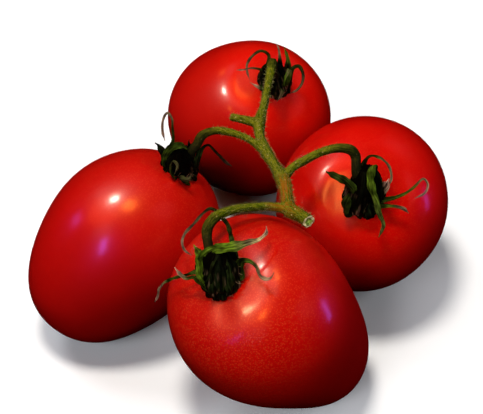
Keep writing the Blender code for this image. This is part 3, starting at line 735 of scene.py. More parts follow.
def cut_end(bm):
    """Cuts the main stalk off on the slant. The face gets a raised pale rim round a sunken pith."""
    face = cut_away(bm, Vector(MAIN_STALK[0][:3]) - CUT_SLANT * CUT_BACK, CUT_SLANT)[0]
    ring = bmesh.ops.inset_individual(bm, faces=[face], thickness=RIM_WIDTH, depth=0.0)["faces"]
    wall = bmesh.ops.inset_individual(bm, faces=[face], thickness=WALL_WIDTH, depth=-RIM_DEPTH)["faces"]
    for part in ring + wall:
        part.material_index = 1
        part.smooth = False
    noise.seed_set(TEAR_SEED)
    for vert in {vert for part in ring + wall for vert in part.verts}:
        vert.co += noise.noise_vector(vert.co / TEAR_SIZE) * TEAR
    face.material_index = 2
    bmesh.ops.triangulate(bm, faces=[face])


def add_hair(bm, root, way, length, width):
    """One hair: a slender cone that stands from its root in the given direction."""
    turn = way.to_track_quat("Z", "Y").to_matrix().to_4x4()
    place = Matrix.Translation(root + way * length * (0.5 - HAIR_SUNK)) @ turn
    cone = dict(segments=3, radius1=width / 2, radius2=width / 2 / HAIR_TAPER, depth=length, matrix=place)
    return bmesh.ops.create_cone(bm, cap_ends=True, **cone)["verts"]


def make_hairs(roots):
    """Fine pale hairs that give the stalk a downy edge, each from a place and a normal of its skin."""
    bm = bmesh.new()
    draw = random.Random(HAIR_SEED)
    for place, normal in draw.sample(roots, HAIRS):
        lean = Vector([draw.uniform(-HAIR_LEAN, HAIR_LEAN) for _ in range(3)])
        add_hair(bm, place, (normal + lean).normalized(), draw.uniform(*HAIR_LENGTHS), HAIR_WIDTH)
    hair, _, _ = new_material("pale_plant_hair", base_color=linear(HAIR_GREY), roughness=0.6)
    make_piece("stem_hairs", bm, hair)


print("hairs on the stem:", HAIRS)

# %% [markdown]
# ## Make the stem
# The main stalk is made a little too long, so that the slanted cut has something to take off. The arms run
# on into the necks. The hairs leave out the dried stretches, the cut face and its rim.

# %% Make the stem
SMOOTHINGS = 6
CUT_OVERRUN = 2.0
CUT_FLARE = 1.1
HAIRLESS = 0.35


def make_stem():
    bm = bmesh.new()
    first, second = (Vector(row[:3]) for row in MAIN_STALK[:2])
    longer = first + (first - second).normalized() * CUT_OVERRUN
    courses = [tube(bm, [(*longer, MAIN_STALK[0][3] * CUT_FLARE)] + MAIN_STALK), tube(bm, BARE_STUB)]
    courses += [tube(bm, points + neck_course(name)) for name, points in ARMS.items()]
    bm = remeshed(bm)
    all_ways = dict(use_axis_x=True, use_axis_y=True, use_axis_z=True)
    for _ in range(SMOOTHINGS):
        bmesh.ops.smooth_vert(bm, verts=bm.verts, factor=0.5, **all_ways)
    dried = [Vector(row[:3]) for name in ARMS for row in smooth_course(neck_course(name), STALK_STEP)]
    mark_stalk(bm, courses, dried)
    cut_end(bm)
    bmesh.ops.translate(bm, vec=-TRUSS_MIDDLE, verts=bm.verts)
    bm.normal_update()
    dry = bm.verts.layers.float["dried"]
    living = [face for face in bm.faces if face.material_index == 0 and face.verts[0][dry] < HAIRLESS]
    roots = [(face.calc_center_median(), face.normal.copy()) for face in living]
    stem = make_piece("green_stem", bm, stalk_material, "truss_stem")
    for material in (cut_rim(), cut_pith()):
        stem.data.materials.append(material)
    make_hairs(roots)


make_stem()

# %% [markdown]
# ## The calyxes
# A calyx is the ring of sepals round the stem end. These have dried and shrivelled: their bases stand up as
# a dark crumpled mass round the neck, and from it thin tips curl out, some still green. Each sepal has its
# own course, because no rule would curl them as these did. Three shares come first: how fresh a sepal still
# is, how slim it is past its base, and how pale its tip. Each row is then a place from the fruit's stem
# end, and a width, or for the heart a radius.

# %% Calyx courses
HEARTS = {
    "front": [
        (0.2, 0.0, -1.6, 3.2), (0.3, 0.0, 0.8, 4.1), (0.3, 0.4, 4.0, 3.9), (-0.1, 1.2, 6.8, 3.2),
        (0.0, 1.6, 8.4, 1.8),
    ],
    "left": [
        (0.0, 0.0, -1.6, 2.2), (-0.6, -0.8, 0.8, 3.3), (-1.4, -2.2, 4.0, 3.4), (-1.8, -3.0, 6.6, 3.0),
        (-1.6, -3.2, 8.8, 1.6),
    ],
    "right": [
        (-0.2, -0.4, -1.8, 3.2), (-0.2, -1.2, 0.6, 4.2), (0.1, -1.8, 4.0, 4.0), (0.4, -1.6, 7.0, 3.2),
        (0.2, -1.0, 9.4, 1.8),
    ],
    "back": [
        (0.0, 0.0, -1.6, 2.2), (-0.2, -0.4, 0.6, 3.4), (-0.6, -0.8, 3.4, 3.3), (-0.8, -0.8, 5.4, 2.4),
        (-0.8, -0.6, 6.6, 1.4),
    ],
}
SEPALS = {
    "front": {
        "far_loop": (0.12, 0.62, 0.35, [
            (1.5, 1.5, 0.0, 2.6), (3.4, 2.4, 4.0, 2.8), (3.0, 2.6, 7.2, 1.8), (2.5, 5.0, 7.4, 1.6),
            (1.5, 10.7, 6.7, 1.5), (0.5, 12.7, 6.6, 1.4), (-1.0, 15.2, 6.5, 1.2), (-2.2, 15.8, 6.5, 1.1),
            (-3.6, 14.8, 6.2, 1.0), (-5.5, 12.1, 5.8, 1.0), (-7.4, 10.4, 4.5, 0.9), (-8.0, 9.0, 3.5, 0.9),
            (-7.5, 6.5, 3.5, 0.8), (-6.0, 4.6, 3.8, 0.7),
        ]),
        "cross": (1.0, 0.95, 0.9, [
            (-2.0, 1.2, 0.5, 2.6), (-3.8, 1.4, 3.8, 2.8), (-3.6, 1.4, 6.8, 2.2), (-1.0, 1.0, 9.2, 2.0),
            (1.5, 0.5, 10.2, 2.2), (3.6, 0.4, 10.8, 2.0), (6.0, 1.5, 10.8, 1.2), (8.0, 3.0, 10.0, 0.9),
            (9.5, 5.0, 10.0, 0.8), (9.5, 6.5, 10.5, 0.7),
        ]),
        "hook": (0.35, 0.7, 0.6, [
            (2.2, -0.4, 0.0, 2.6), (4.0, -0.6, 3.6, 3.0), (4.2, -0.4, 7.0, 2.4), (6.0, -1.5, 8.3, 1.4),
            (7.5, -2.4, 7.5, 1.1), (8.2, -4.0, 6.5, 1.1), (9.5, -5.0, 6.5, 1.2), (10.5, -5.0, 7.0, 0.9),
            (11.0, -4.5, 8.0, 0.7),
        ]),
        "left_blade": (1.0, 1.25, 0.0, [
            (-2.2, -0.8, 0.0, 2.4), (-3.9, -0.8, 3.0, 2.4), (-4.2, 0.6, 5.0, 1.8), (-4.4, 2.4, 6.4, 1.4),
            (-5.5, 4.0, 7.5, 0.7),
        ]),
        "left_curl": (0.35, 0.8, 0.8, [
            (-2.0, -1.6, -0.6, 2.2), (-3.9, -0.9, 1.2, 2.0), (-5.5, 0.0, 2.0, 1.1), (-7.0, 0.2, 1.5, 1.0),
            (-8.5, 1.6, 1.5, 0.9), (-9.5, 2.5, 2.4, 0.7),
        ]),
        "thread": (0.3, 0.8, 0.9, [
            (-1.8, 1.4, 0.0, 2.0), (-4.2, 2.0, 1.6, 1.4), (-7.0, 2.2, 0.5, 0.8), (-10.0, 3.5, -2.0, 0.8),
            (-12.0, 5.0, -5.0, 0.7), (-13.0, 5.2, -7.0, 0.7), (-13.2, 5.4, -9.0, 0.7),
            (-14.0, 6.0, -11.6, 0.7),
        ]),
        "front_tip": (0.04, 0.6, 0.0, [
            (-0.8, -2.2, -1.0, 2.8), (-1.2, -3.8, 2.0, 3.2), (-1.0, -2.6, 5.6, 2.4), (-1.0, -1.4, 8.2, 1.6),
            (-1.6, -3.0, 8.4, 0.9), (-2.4, -4.6, 6.4, 0.7), (-3.5, -4.8, 4.6, 0.7),
        ]),
        "front_fold": (0.04, 0.7, 0.0, [
            (1.4, -2.0, -1.0, 2.8), (2.2, -3.6, 2.0, 3.4), (1.8, -2.8, 5.6, 2.8), (1.4, -1.0, 8.4, 1.2),
        ]),
    },
    "left": {
        "loop": (0.12, 0.75, 0.5, [
            (-1.6, 1.2, 0.0, 2.4), (-3.6, 0.0, 4.0, 2.6), (-3.2, -1.6, 8.0, 1.8), (-2.6, -1.6, 10.6, 1.0),
            (-2.8, -0.6, 12.6, 0.8), (-3.0, 1.5, 13.6, 0.7), (-4.0, 3.0, 13.8, 0.7), (-4.8, 1.6, 13.4, 0.7),
            (-5.0, 0.0, 11.6, 0.8), (-4.5, -1.5, 9.8, 0.8),
        ]),
        "stub_tip": (0.0, 1.0, 0.0, [
            (-2.2, -0.8, 0.0, 2.4), (-4.6, -2.2, 4.0, 2.6), (-4.8, -3.2, 7.6, 1.8), (-5.8, -3.0, 9.8, 1.3),
            (-6.6, -2.8, 10.4, 0.9),
        ]),
        "collar": (0.25, 0.9, 0.0, [
            (-1.8, -2.0, 0.0, 2.6), (-4.2, -4.4, 4.6, 2.8), (-4.4, -4.8, 8.4, 2.0), (-3.0, -4.2, 10.3, 1.8),
            (-1.0, -3.8, 10.5, 1.6), (0.4, -4.2, 9.8, 1.1),
        ]),
        "right_tip": (0.05, 0.8, 0.1, [
            (1.8, -0.6, 0.0, 2.4), (2.2, -3.0, 3.6, 2.4), (2.6, -2.8, 5.6, 1.6), (3.3, -0.9, 6.3, 1.4),
            (4.2, 0.3, 6.6, 0.8), (5.0, 1.2, 6.0, 0.7), (6.2, 1.2, 4.4, 0.8), (7.4, 1.8, 2.2, 0.9),
            (8.5, 2.8, -0.4, 1.0), (10.0, 3.6, -2.6, 0.9),
        ]),
        "front_curl": (0.2, 0.75, 0.12, [
            (-1.2, -2.4, -1.0, 2.6), (-2.6, -5.6, 3.0, 3.0), (-3.2, -6.8, 7.0, 2.0), (-2.4, -6.6, 8.6, 1.2),
            (-1.6, -7.6, 8.0, 1.0), (-2.4, -8.4, 6.2, 0.8),
        ]),
        "low_curl": (0.15, 0.8, 0.1, [
            (0.8, -2.4, -1.0, 2.6), (-0.2, -5.6, 1.8, 3.0), (-0.8, -7.6, 4.2, 2.0), (0.5, -8.0, 4.4, 1.2),
            (1.5, -7.5, 5.6, 0.8),
        ]),
        "behind": (0.0, 0.6, 0.0, [
            (1.2, 1.8, 0.0, 2.4), (1.4, 1.4, 4.0, 2.4), (0.6, 1.8, 6.2, 1.6), (0.7, 2.2, 6.8, 0.8),
        ]),
    },
    "right": {
        "left_thick": (0.18, 1.15, 0.0, [
            (-1.8, -1.2, 0.0, 2.6), (-2.2, -3.8, 3.6, 2.8), (-2.6, -3.8, 6.0, 2.0), (-4.0, -3.0, 7.2, 1.6),
            (-6.0, -2.2, 8.0, 1.4), (-8.5, -1.2, 8.6, 1.2),
        ]),
        "centre": (0.62, 0.95, 0.1, [
            (1.2, -0.6, 0.6, 2.6), (2.6, -1.6, 5.0, 2.8), (1.8, -1.2, 8.8, 2.2), (1.5, -1.6, 10.6, 2.0),
            (1.0, -3.2, 10.0, 2.0), (1.2, -5.2, 7.6, 2.0), (2.2, -6.6, 5.0, 1.7), (3.0, -7.6, 2.4, 1.2),
            (4.0, -8.2, -0.6, 0.8), (3.6, -8.6, -2.2, 0.7), (3.0, -8.8, -3.8, 0.7),
        ]),
        "arc": (0.3, 0.75, 0.4, [
            (-0.4, 2.0, 0.6, 2.4), (-0.4, 2.2, 5.0, 2.4), (0.0, 2.4, 8.2, 1.4), (1.2, 2.0, 10.3, 0.8),
            (3.2, 1.0, 10.5, 0.8), (5.0, -0.5, 9.5, 0.8), (5.6, -2.0, 7.5, 0.8), (5.0, -3.0, 5.8, 0.7),
        ]),
        "right_blade": (0.15, 1.0, 1.0, [
            (2.0, 0.6, 0.0, 2.4), (3.8, -1.6, 3.0, 2.8), (4.4, -2.6, 5.6, 2.2), (5.0, -2.4, 7.6, 0.9),
        ]),
        "ring_tip": (0.4, 0.75, 1.0, [
            (1.6, -1.6, -0.6, 2.4), (3.8, -3.4, 2.2, 1.8), (6.5, -4.0, 3.6, 1.1), (8.5, -3.8, 4.6, 0.9),
            (10.5, -2.8, 5.6, 0.7), (12.5, -1.2, 6.4, 0.7), (13.5, -1.4, 5.0, 0.7), (13.0, -2.2, 3.4, 0.7),
            (10.8, -3.2, 2.6, 0.7),
        ]),
        "low_tip": (0.4, 0.8, 0.7, [
            (1.2, -2.0, -1.0, 2.2), (3.6, -4.0, 1.0, 1.4), (6.0, -4.2, 1.2, 0.9), (8.4, -4.2, 0.4, 0.9),
            (9.6, -4.0, -1.2, 0.8),
        ]),
        "left_lobe": (0.15, 1.0, 0.0, [
            (-1.8, -1.6, -1.2, 2.6), (-4.0, -4.0, -0.8, 2.6), (-4.2, -4.6, 2.0, 2.4),
            (-3.4, -3.8, 4.6, 1.6),
        ]),
        "low_lobe": (0.0, 1.1, 0.0, [
            (0.0, -2.4, -1.6, 2.8), (1.6, -4.8, -1.2, 2.8), (1.2, -5.2, 2.0, 2.6), (0.2, -4.6, 5.0, 1.6),
        ]),
    },
    "back": {
        "arc": (0.15, 0.6, 0.25, [
            (-1.6, 1.4, 0.0, 2.4), (-2.8, 0.6, 3.4, 2.6), (-2.0, -0.4, 6.4, 1.8), (-1.8, 0.4, 8.8, 1.2),
            (-3.5, 0.8, 9.6, 1.1), (-5.5, 0.0, 8.6, 1.0), (-6.6, -1.4, 7.4, 1.0), (-6.5, -2.6, 6.0, 0.8),
            (-6.0, -3.5, 4.6, 0.7),
        ]),
        "thread": (0.25, 0.6, 0.6, [
            (-2.2, -0.4, 0.0, 2.2), (-3.6, -1.6, 3.6, 2.0), (-3.4, -2.6, 6.8, 1.0), (-5.4, -2.6, 7.4, 0.7),
            (-7.5, -2.2, 6.6, 0.7), (-9.0, -1.2, 5.6, 0.7),
        ]),
        "left_tip": (0.2, 0.7, 0.8, [
            (-1.8, -1.6, -0.4, 2.4), (-3.2, -3.6, 2.2, 2.4), (-4.4, -4.8, 3.8, 1.2), (-6.0, -4.2, 4.6, 0.7),
        ]),
        "far_tip": (0.25, 0.6, 0.5, [
            (0.6, 2.2, 0.2, 2.4), (0.8, 1.8, 4.0, 2.4), (0.8, 0.8, 7.6, 1.2), (0.5, 2.5, 9.0, 0.8),
            (0.0, 4.0, 9.0, 0.7),
        ]),
        "top_blade": (0.5, 0.7, 0.0, [
            (2.0, 0.8, 0.0, 2.4), (2.6, 0.4, 4.0, 2.4), (2.6, 0.2, 7.6, 1.4), (1.8, 2.8, 9.0, 0.7),
        ]),
        "right_loop": (0.12, 0.6, 0.25, [
            (2.0, -0.8, -0.4, 2.4), (3.2, -1.6, 3.6, 2.4), (3.8, -1.2, 6.2, 1.6), (5.0, -1.0, 6.6, 1.4),
            (6.0, -2.0, 5.2, 1.3), (5.8, -3.4, 3.6, 1.0), (4.6, -4.2, 2.2, 0.9), (3.0, -4.4, 1.4, 0.7),
        ]),
        "near_tip": (0.2, 0.7, 0.3, [
            (0.4, -2.4, -0.8, 2.4), (1.2, -4.0, 2.2, 2.0), (1.2, -6.0, 3.6, 1.6), (0.8, -6.8, 2.4, 1.0),
            (0.0, -7.2, 1.4, 0.7),
        ]),
        "green_fold": (0.7, 0.8, 0.2, [
            (1.4, -1.8, -0.4, 2.2), (2.2, -3.0, 3.6, 2.0), (2.9, -2.4, 6.8, 1.4), (2.2, -4.4, 6.2, 0.8),
        ]),
    },
}
print("sepals:", {name: len(sepals) for name, sepals in SEPALS.items()})

# %% [markdown]
# ## Dried sepals
# A withered sepal is thin leaf tissue that has gone from green through olive to black, and its tip bleaches
# to a pale tan. Three numbers kept at each point choose the colour: how fresh the sepal still is, how near
# the tip the point is, and how far it stands out of a fold. The last one paints shade: the deeper in a fold,
# the darker, down to black. The finish is matt, with veins along the blade as a fine bump.

# %% Sepal finish
SEPAL_GREEN = "66801C"
SEPAL_OLIVE = "1C2410"
SEPAL_BLACK_FOLD_SHADE = "040805"
SEPAL_TAN = "F0B096"
VEIN_WIDTH = 0.25
VEIN_STRETCH = 0.12
VEIN_DEPTH = 0.12
SEPAL_MARKS = ("fresh", "tip", "raised")


def sepal_skin():
    """Withered leaf: matt, darker between its veins, and with painted shade in its folds."""
    material, tree, shader = new_material("dried_tomato_sepal", roughness=0.75, specular_ior_level=0.04)
    own = add(tree, "ShaderNodeAttribute", attribute_name="straight_place").outputs["Vector"]
    marks = [add(tree, "ShaderNodeAttribute", attribute_name=key).outputs["Fac"] for key in SEPAL_MARKS]
    fresh, tip, raised = marks
    drawn = add(tree, "ShaderNodeMapping", {"Vector": own, "Scale": (1.0, 1.0, VEIN_STRETCH)})
    threads = {"Vector": drawn.outputs["Vector"], "Scale": per_mm(VEIN_WIDTH), "Detail": 2.0}
    vein = add(tree, "ShaderNodeTexNoise", threads)
    # painted shade: the black base stays in the folds, and what stands out turns olive
    colour = linear(SEPAL_BLACK_FOLD_SHADE)
    for share, code in zip((raised, fresh, tip), (SEPAL_OLIVE, SEPAL_GREEN, SEPAL_TAN)):
        layer = {"Factor": share, "A": colour, "B": linear(code)}
        colour = add(tree, "ShaderNodeMix", layer, data_type="RGBA").outputs["Result"]
    ribbed = limits(0.38, 0.66, 0.35, 1.35)
    line = add(tree, "ShaderNodeMapRange", {"Value": vein.outputs["Fac"], **ribbed})
    # painted shade: the colour is darkened further the deeper a point lies in a fold
    fold_shade_range = limits(0.0, 0.8, 0.3, 1.0)
    depth = add(tree, "ShaderNodeMapRange", {"Value": raised, **fold_shade_range})
    both = {0: line.outputs["Result"], 1: depth.outputs["Result"]}
    light = add(tree, "ShaderNodeMath", both, operation="MULTIPLY")
    shaded = {"Factor": 1.0, "A": colour, "B": light.outputs["Value"]}
    veined_and_fold_shaded = add(tree, "ShaderNodeMix", shaded, data_type="RGBA", blend_type="MULTIPLY")
    tree.links.new(veined_and_fold_shaded.outputs["Result"], shader.inputs["Base Color"])
    relief = {"Height": vein.outputs["Fac"], "Strength": 0.8, "Distance": VEIN_DEPTH * MM}
    bump = add(tree, "ShaderNodeBump", relief)
    tree.links.new(bump.outputs["Normal"], shader.inputs["Normal"])
    return material


sepal_material = sepal_skin()
print("finish:", sepal_material.name)

# %% [markdown]
# ## One sepal
# A sepal is a thin blade folded at its midrib like a half-open book, with ribs along it. That section is
# swept along the sepal's course and shrinks to the tip. Noise makes it wander and pinch as drying does, and
# crumples the surface. The same loop marks each point for the colours, and paints shade where the surface
# dips between ribs and crumples.

# %% One sepal
UPWARD = Vector((0.0, -0.6, 0.8))
SEPAL_SIDES = 26
SEPAL_STEP = 0.3
SEPAL_THICKNESS = 0.3
THICK_SHARE = 0.17
SECTION_DEPTH = 0.45
RIBS = 3
RIB_HEIGHT = 0.16
FOLD_RATIO = 0.5
BASE_LENGTH = 5.0
TWIST = 0.9
TWIST_LENGTH = 4.0
PINCH = 0.35
PINCH_LENGTH = 1.6
POINT_LENGTH = 1.5
BLUNTEST = 0.3
CRUMPLE = 0.3
CRUMPLE_SIZE = 1.3
PALE_TIP = 0.42
SEED_GAP = 31.0


def sepal_section():
    """A thin lens with ribs along it, folded at the midrib, one unit to each side."""
    section = []
    for x, y in circle(SEPAL_SIDES):
        rib = RIB_HEIGHT * math.cos(2 * math.pi * RIBS * x)
        section.append((x, SECTION_DEPTH * y + FOLD_RATIO * (abs(x) - 0.5) + rib))
    return section


def noise_at(x, y, z):
    return noise.noise(Vector((x, y, z)))


def add_sepal(bm, layers, points, look, axis, seed):
    """One sepal, from the heart out to its tip, twisted and crumpled a little."""
    fresh, slim, pale = look
    rows = smooth_course(points, SEPAL_STEP)
    count = len(rows)
    run = np.arange(count) * SEPAL_STEP
    wander = np.array([noise_at(along / TWIST_LENGTH, seed, 0.0) for along in run])
    pinch = np.array([1.0 + PINCH * noise_at(along / PINCH_LENGTH, seed, 5.0) for along in run])
    taper = np.clip((count - 1 - np.arange(count)) * SEPAL_STEP / POINT_LENGTH, BLUNTEST, 1.0)
    thin = 1.0 + (slim - 1.0) * np.clip(run / BASE_LENGTH, 0.0, 1.0)
    widths = rows[:, 3] / 2 * taper * pinch * thin
    heights = (SEPAL_THICKNESS / 2 + THICK_SHARE * rows[:, 3]) * np.sqrt(taper) * thin
    outward = Vector(rows[1][:3])
    outward -= outward.dot(axis) * axis
    places = course_places(rows, axis.cross(outward), widths, heights, wander * TWIST, UPWARD)
    for number, ring in enumerate(sweep(bm, sepal_section(), places)):
        along = number / (count - 1)
        back = places[number].inverted()
        face = places[number].to_3x3().col[1].normalized()
        bleached = max(0.0, (along - 1.0 + PALE_TIP) / PALE_TIP)
        for vert in ring:
            local = back @ vert.co
            wave = noise.noise(vert.co / CRUMPLE_SIZE + Vector((seed, 0.0, 0.0)))
            rib = 0.5 + 0.5 * math.cos(2 * math.pi * RIBS * local.x)
            place = Vector((local.x * widths[number], local.y * 0.2, run[number] + SEED_GAP * seed))
            vert[layers["straight_place"]] = place * MM
            vert[layers["fresh"]] = fresh * min(1.0, 0.1 + 2.4 * along) * (0.75 + 0.5 * wave)
            vert[layers["tip"]] = pale * bleached * (0.5 + 0.5 * rib)
            # painted shade: low in the hollows between ribs and in crumple dips, which the finish paints
            # darker
            vert[layers["raised"]] = clamp(0.15 + 0.7 * rib + 0.6 * wave)
            vert.co += face * wave * CRUMPLE * min(1.0, widths[number])


print("a sepal's section has", len(sepal_section()), "points")

# %% [markdown]
# ## The crumpled heart
# The bases of the sepals have shrunk into one mass, near black, partly as dried tissue and partly as painted
# shade. It is a tube whose skin is pushed in and out by three sizes of noise, drawn out along its height as
# folded leaf bases are. Where the skin is pushed in, it is painted darker, as shade in the folds. Pale fibres
# show at its foot, where the tissue has frayed.

# %% The crumpled heart
HEART_SIDES = 84
HEART_STEP = 0.22
HEART_RELIEF = 0.6
HEART_DRAWN = 0.12
HEART_RADIUS = 3.0
FRINGE_REACH = 5.0


def heart_relief(way, swirl):
    """How far the skin is pushed out in one direction: a broad swell, sharp folds and fine wrinkles."""
    broad, fold, fine = (
        noise_at(way.x * size, way.y * size, stretch * swirl)
        for size, stretch in ((1.6, 1.0), (3.0, 2.0), (9.0, 5.0))
    )
    return 0.8 * broad + 0.45 * (0.5 - abs(fold) * 2.2) + 0.5 * fine


def add_heart(bm, layers, points, seed):
    """The heart of one calyx, with its marks for the colours."""
    rows = smooth_course(points, HEART_STEP)
    places = course_places(rows, (1.0, 0.0, 0.0), rows[:, 3], rows[:, 3])
    for number, ring in enumerate(sweep(bm, circle(HEART_SIDES), places)):
        middle = places[number].translation
        back = places[number].inverted()
        along = number * HEART_STEP
        low = clamp(1.4 - along / FRINGE_REACH)
        for vert in ring:
            way = (back @ vert.co).normalized()
            relief = heart_relief(way, along * HEART_DRAWN + 7.0 * seed)
            vert.co += (vert.co - middle).normalized() * relief * HEART_RELIEF
            place = Vector((way.x * HEART_RADIUS, way.y * HEART_RADIUS, along + 60.0 * seed))
            line = noise_at(way.x * 12.0, way.y * 12.0, along * 0.3 + seed)
            vert[layers["straight_place"]] = place * MM
            # painted shade: where the skin is pushed in, the point is marked for a darker colour
            vert[layers["raised"]] = clamp(0.05 + 0.7 * relief)
            vert[layers["tip"]] = low * clamp(4.0 * (line - 0.12), 0.7)
            vert[layers["fresh"]] = low * clamp(2.0 * line, 0.5)


print("heart sides:", HEART_SIDES)

# %% [markdown]
# ## Scraps and shreds
# Short withered scraps stand up round the foot of the heart, and shreds of pale fibre hang over it. They
# are many and alike, so a seeded draw places them: it looks random and comes out the same each time.

# %% Scraps and shreds
SCRAPS = 11
SCRAP_LOOK = (0.0, 1.0, 0.0)
SCRAP_SINK = 1.6
SCRAP_TIP = 0.7
SHREDS = 70
SHRED_WIDTH = 0.1
SHRED_LENGTHS = (0.8, 2.4)
SHRED_MARKS = (0.6, 0.45, 0.8)


def add_scraps(bm, layers, heart, axis, seed):
    draw = random.Random(seed)
    foot, top = Vector(heart[1][:3]), Vector(heart[-2][:3])
    wide = heart[1][3]
    rise = top - foot
    side = axis.orthogonal().normalized()
    for number in range(SCRAPS):
        way = Matrix.Rotation(2 * math.pi * (number + draw.uniform(-0.3, 0.3)) / SCRAPS, 3, axis) @ side
        tall = draw.uniform(0.35, 0.8)
        points = [
            (*(foot - axis * SCRAP_SINK + way * wide * 0.75), 1.6),
            (*(foot + way * wide * 1.0), draw.uniform(1.2, 2.2)),
            (*(foot + rise * tall * 0.6 + way * wide * 1.02), draw.uniform(1.0, 1.8)),
            (*(foot + rise * tall + way * wide * draw.uniform(0.8, 1.0)), SCRAP_TIP),
        ]
        add_sepal(bm, layers, points, SCRAP_LOOK, axis, seed + number)
    for _ in range(SHREDS):
        way = Matrix.Rotation(draw.uniform(0, 2 * math.pi), 3, axis) @ side
        high = draw.uniform(0.0, 0.7) ** 1.3
        root = foot + rise * high + way * wide * draw.uniform(1.0, 1.12)
        lean = -axis + way * draw.uniform(-0.1, 0.5) + axis.cross(way) * draw.uniform(-0.4, 0.4)
        for vert in add_hair(bm, root, lean.normalized(), draw.uniform(*SHRED_LENGTHS), SHRED_WIDTH):
            for key, value in zip(SEPAL_MARKS, SHRED_MARKS):
                vert[layers[key]] = value


print("scraps and shreds in a calyx:", SCRAPS, SHREDS)

# %% [markdown]
# ## Make the calyxes
# Each calyx is modelled about the fruit's stem end and then moved there, so that the courses above stay
# easy to read. Every sepal has a seed of its own, or they would all crumple alike.

# %% Make the calyxes
FIRST_SEED, CALYX_SEEDS, SEPAL_SEEDS, SEED_START = 1.3, 2.9, 0.37, 0.11


def make_calyx(name, seed):
    axis = (fruit_lean(FRUITS[name]) @ Vector((0, 0, 1))).to_3d()
    bm = bmesh.new()
    marks = bm.verts.layers
    marks.float_vector.new("straight_place")
    for key in SEPAL_MARKS:
        marks.float.new(key)
    layers = {key: marks.float[key] for key in SEPAL_MARKS}
    layers["straight_place"] = marks.float_vector["straight_place"]
    add_heart(bm, layers, HEARTS[name], seed)
    for number, (*look, points) in enumerate(SEPALS[name].values()):
        add_sepal(bm, layers, points, look, axis, seed + SEPAL_SEEDS * number + SEED_START)
    add_scraps(bm, layers, HEARTS[name], axis, int(10 * seed))
    bmesh.ops.translate(bm, vec=stem_end(FRUITS[name]), verts=bm.verts)
    bmesh.ops.recalc_face_normals(bm, faces=bm.faces)
    make_piece("dried_calyx_" + name, bm, sepal_material, "calyx_" + name)


for number, name in enumerate(HEARTS):
    make_calyx(name, FIRST_SEED + CALYX_SEEDS * number)

# %% [markdown]
# ## The floor
# A plain pale board carries the truss. It stays out of the gloss and sends no light back up, so that the
# far sides of the wet-looking skins stay deep and dark, as in the photograph.

# %% Floor
FLOOR_SIZE = 6.0
WHITE = "FFFFFF"


def make_floor():
    """A matt white board, which takes soft shadows and mirrors nothing."""
    bm = bmesh.new()
    bmesh.ops.create_grid(bm, x_segments=1, y_segments=1, size=FLOOR_SIZE / 2)
    mesh = bpy.data.meshes.new("floor")
    bm.to_mesh(mesh)
    bm.free()
    floor = put_in_scene("floor", mesh)
    material, _, _ = new_material("matt_white_board", base_color=linear(WHITE), roughness=0.9)
    mesh.materials.append(material)
    floor.visible_diffuse = False
    floor.visible_glossy = False


make_floor()
print("floor in m:", FLOOR_SIZE)

# %% [markdown]
# ## Light
# One large soft lamp nearly overhead lights the truss, with four white screens round it that open up the
# shadows. What the skin mirrors is set apart from what lights it, which is how a product photographer flags
# a light off. Each bright spot on a skin is a small lamp of its own, aimed at one fruit through light
# linking: white for the sharp spots, orange for the glow beside them, violet for the long soft streaks of a
# window. One broad glow is mirrored by all the skins.

# %% Light
# degrees from +Y towards +X, degrees up, distance in m, power in W, width and length in m, colour
SPOTS = {
    "glow": (-125, 58, 0.25, 0.4, 0.2, 0.0, "FF5A14"),
    "front_window": (86, 2, 0.85, 0.8, 0.07, 0.3, "9A62FF"),
    "right_window": (91, 2, 0.85, 0.5, 0.07, 0.3, "9A62FF"),
    "left_white": (-103, 75, 0.83, 6.0, 0.12, 0.0, "FFF4E0"),
    "left_orange": (162, 72, 0.83, 3.6, 0.24, 0.0, "FF9030"),
    "left_violet": (-159, 19, 0.84, 1.5, 0.07, 0.24, "A468FF"),
    "left_window": (-94, 26, 0.84, 0.5, 0.2, 0.14, "A468FF"),
    "front_white": (-71, 67, 0.82, 2.2, 0.06, 0.0, "FFF4E0"),
    "front_orange": (-59, 87, 0.83, 1.4, 0.12, 0.0, "FF8A3A"),
    "front_cream": (-110, 50, 0.83, 2.6, 0.05, 0.18, "FFDCA8"),
    "front_low_orange": (-146, 55, 0.84, 1.3, 0.12, 0.0, "FF8030"),
    "front_violet": (-129, 26, 0.84, 0.2, 0.06, 0.15, "9A62FF"),
    "right_white": (-97, 53, 0.81, 1.7, 0.06, 0.0, "FFF4E0"),
    "right_orange": (-148, 49, 0.82, 1.1, 0.06, 0.2, "FF9A48"),
    "back_white": (-101, 35, 0.81, 5.0, 0.11, 0.0, "FFF4E0"),
    "back_glow": (-60, 34, 0.82, 0.6, 0.14, 0.0, "FF8030"),
    "back_orange": (-140, 71, 0.81, 1.2, 0.1, 0.2, "FF8030"),
    "back_low_orange": (-126, 19, 0.80, 0.35, 0.08, 0.0, "FF8A3A"),
}
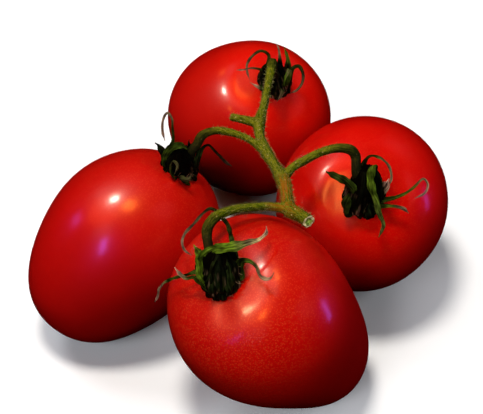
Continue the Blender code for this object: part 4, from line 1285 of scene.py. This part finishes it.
LIGHTING = {
    "overhead": (-136, 80, 1.2, 9.5, 0.26, 0.0, "FFFAF2"),
    "screen_back": (-60, 56, 1.5, 7.0, 0.5, 0.5, "F6F9FF"),
    "screen_far": (45, 40, 1.5, 2.5, 0.7, 0.7, "F6F9FF"),
    "screen_right": (112, 36, 1.5, 6.5, 0.7, 0.7, "F6F9FF"),
    "screen_left": (-152, 36, 1.5, 10.0, 0.6, 0.6, "F6F9FF"),
}


def add_lamp(name, azimuth, elevation, distance, power, width, length, colour):
    """A soft lamp that faces the truss: a disc, or a rectangle where it has a length."""
    data = bpy.data.lights.new(name, "AREA")
    data.energy = power
    data.color = linear(colour)[:3]
    data.shape = "RECTANGLE" if length else "DISK"
    data.size = width
    data.size_y = length
    turn, rise = math.radians(azimuth), math.radians(elevation)
    way = Vector((math.sin(turn) * math.cos(rise), math.cos(turn) * math.cos(rise), math.sin(rise)))
    lamp = put_in_scene(name, data)
    face_truss(lamp, way, distance)
    print(f"{name}: {power} W, {distance} m away")
    return lamp


for name, values in SPOTS.items():
    lamp = add_lamp(name, *values)
    lamp.visible_diffuse = False
    fruit = name.split("_")[0]
    if fruit in FRUITS:
        aimed_at = bpy.data.collections.new("lit_by_" + name)
        aimed_at.objects.link(bpy.data.objects["ripe_fruit_" + fruit])
        lamp.light_linking.receiver_collection = aimed_at
for name, values in LIGHTING.items():
    add_lamp(name, *values).visible_glossy = False

# %% [markdown]
# ## White surroundings
# Behind everything is plain white. Only the camera sees it: it lights nothing and no skin mirrors it. The
# Standard view transform keeps white as white and the reds as full as they were picked.

# %% White surroundings
world = bpy.data.worlds.new("white_surroundings")
bpy.context.scene.world = world
world.use_nodes = True
backdrop = world.node_tree.nodes["Background"]
backdrop.inputs["Color"].default_value = linear(WHITE)
backdrop.inputs["Strength"].default_value = 1.0
world.cycles_visibility.diffuse = False
world.cycles_visibility.glossy = False
bpy.context.scene.view_settings.view_transform = "Standard"
print("view transform:", bpy.context.scene.view_settings.view_transform)
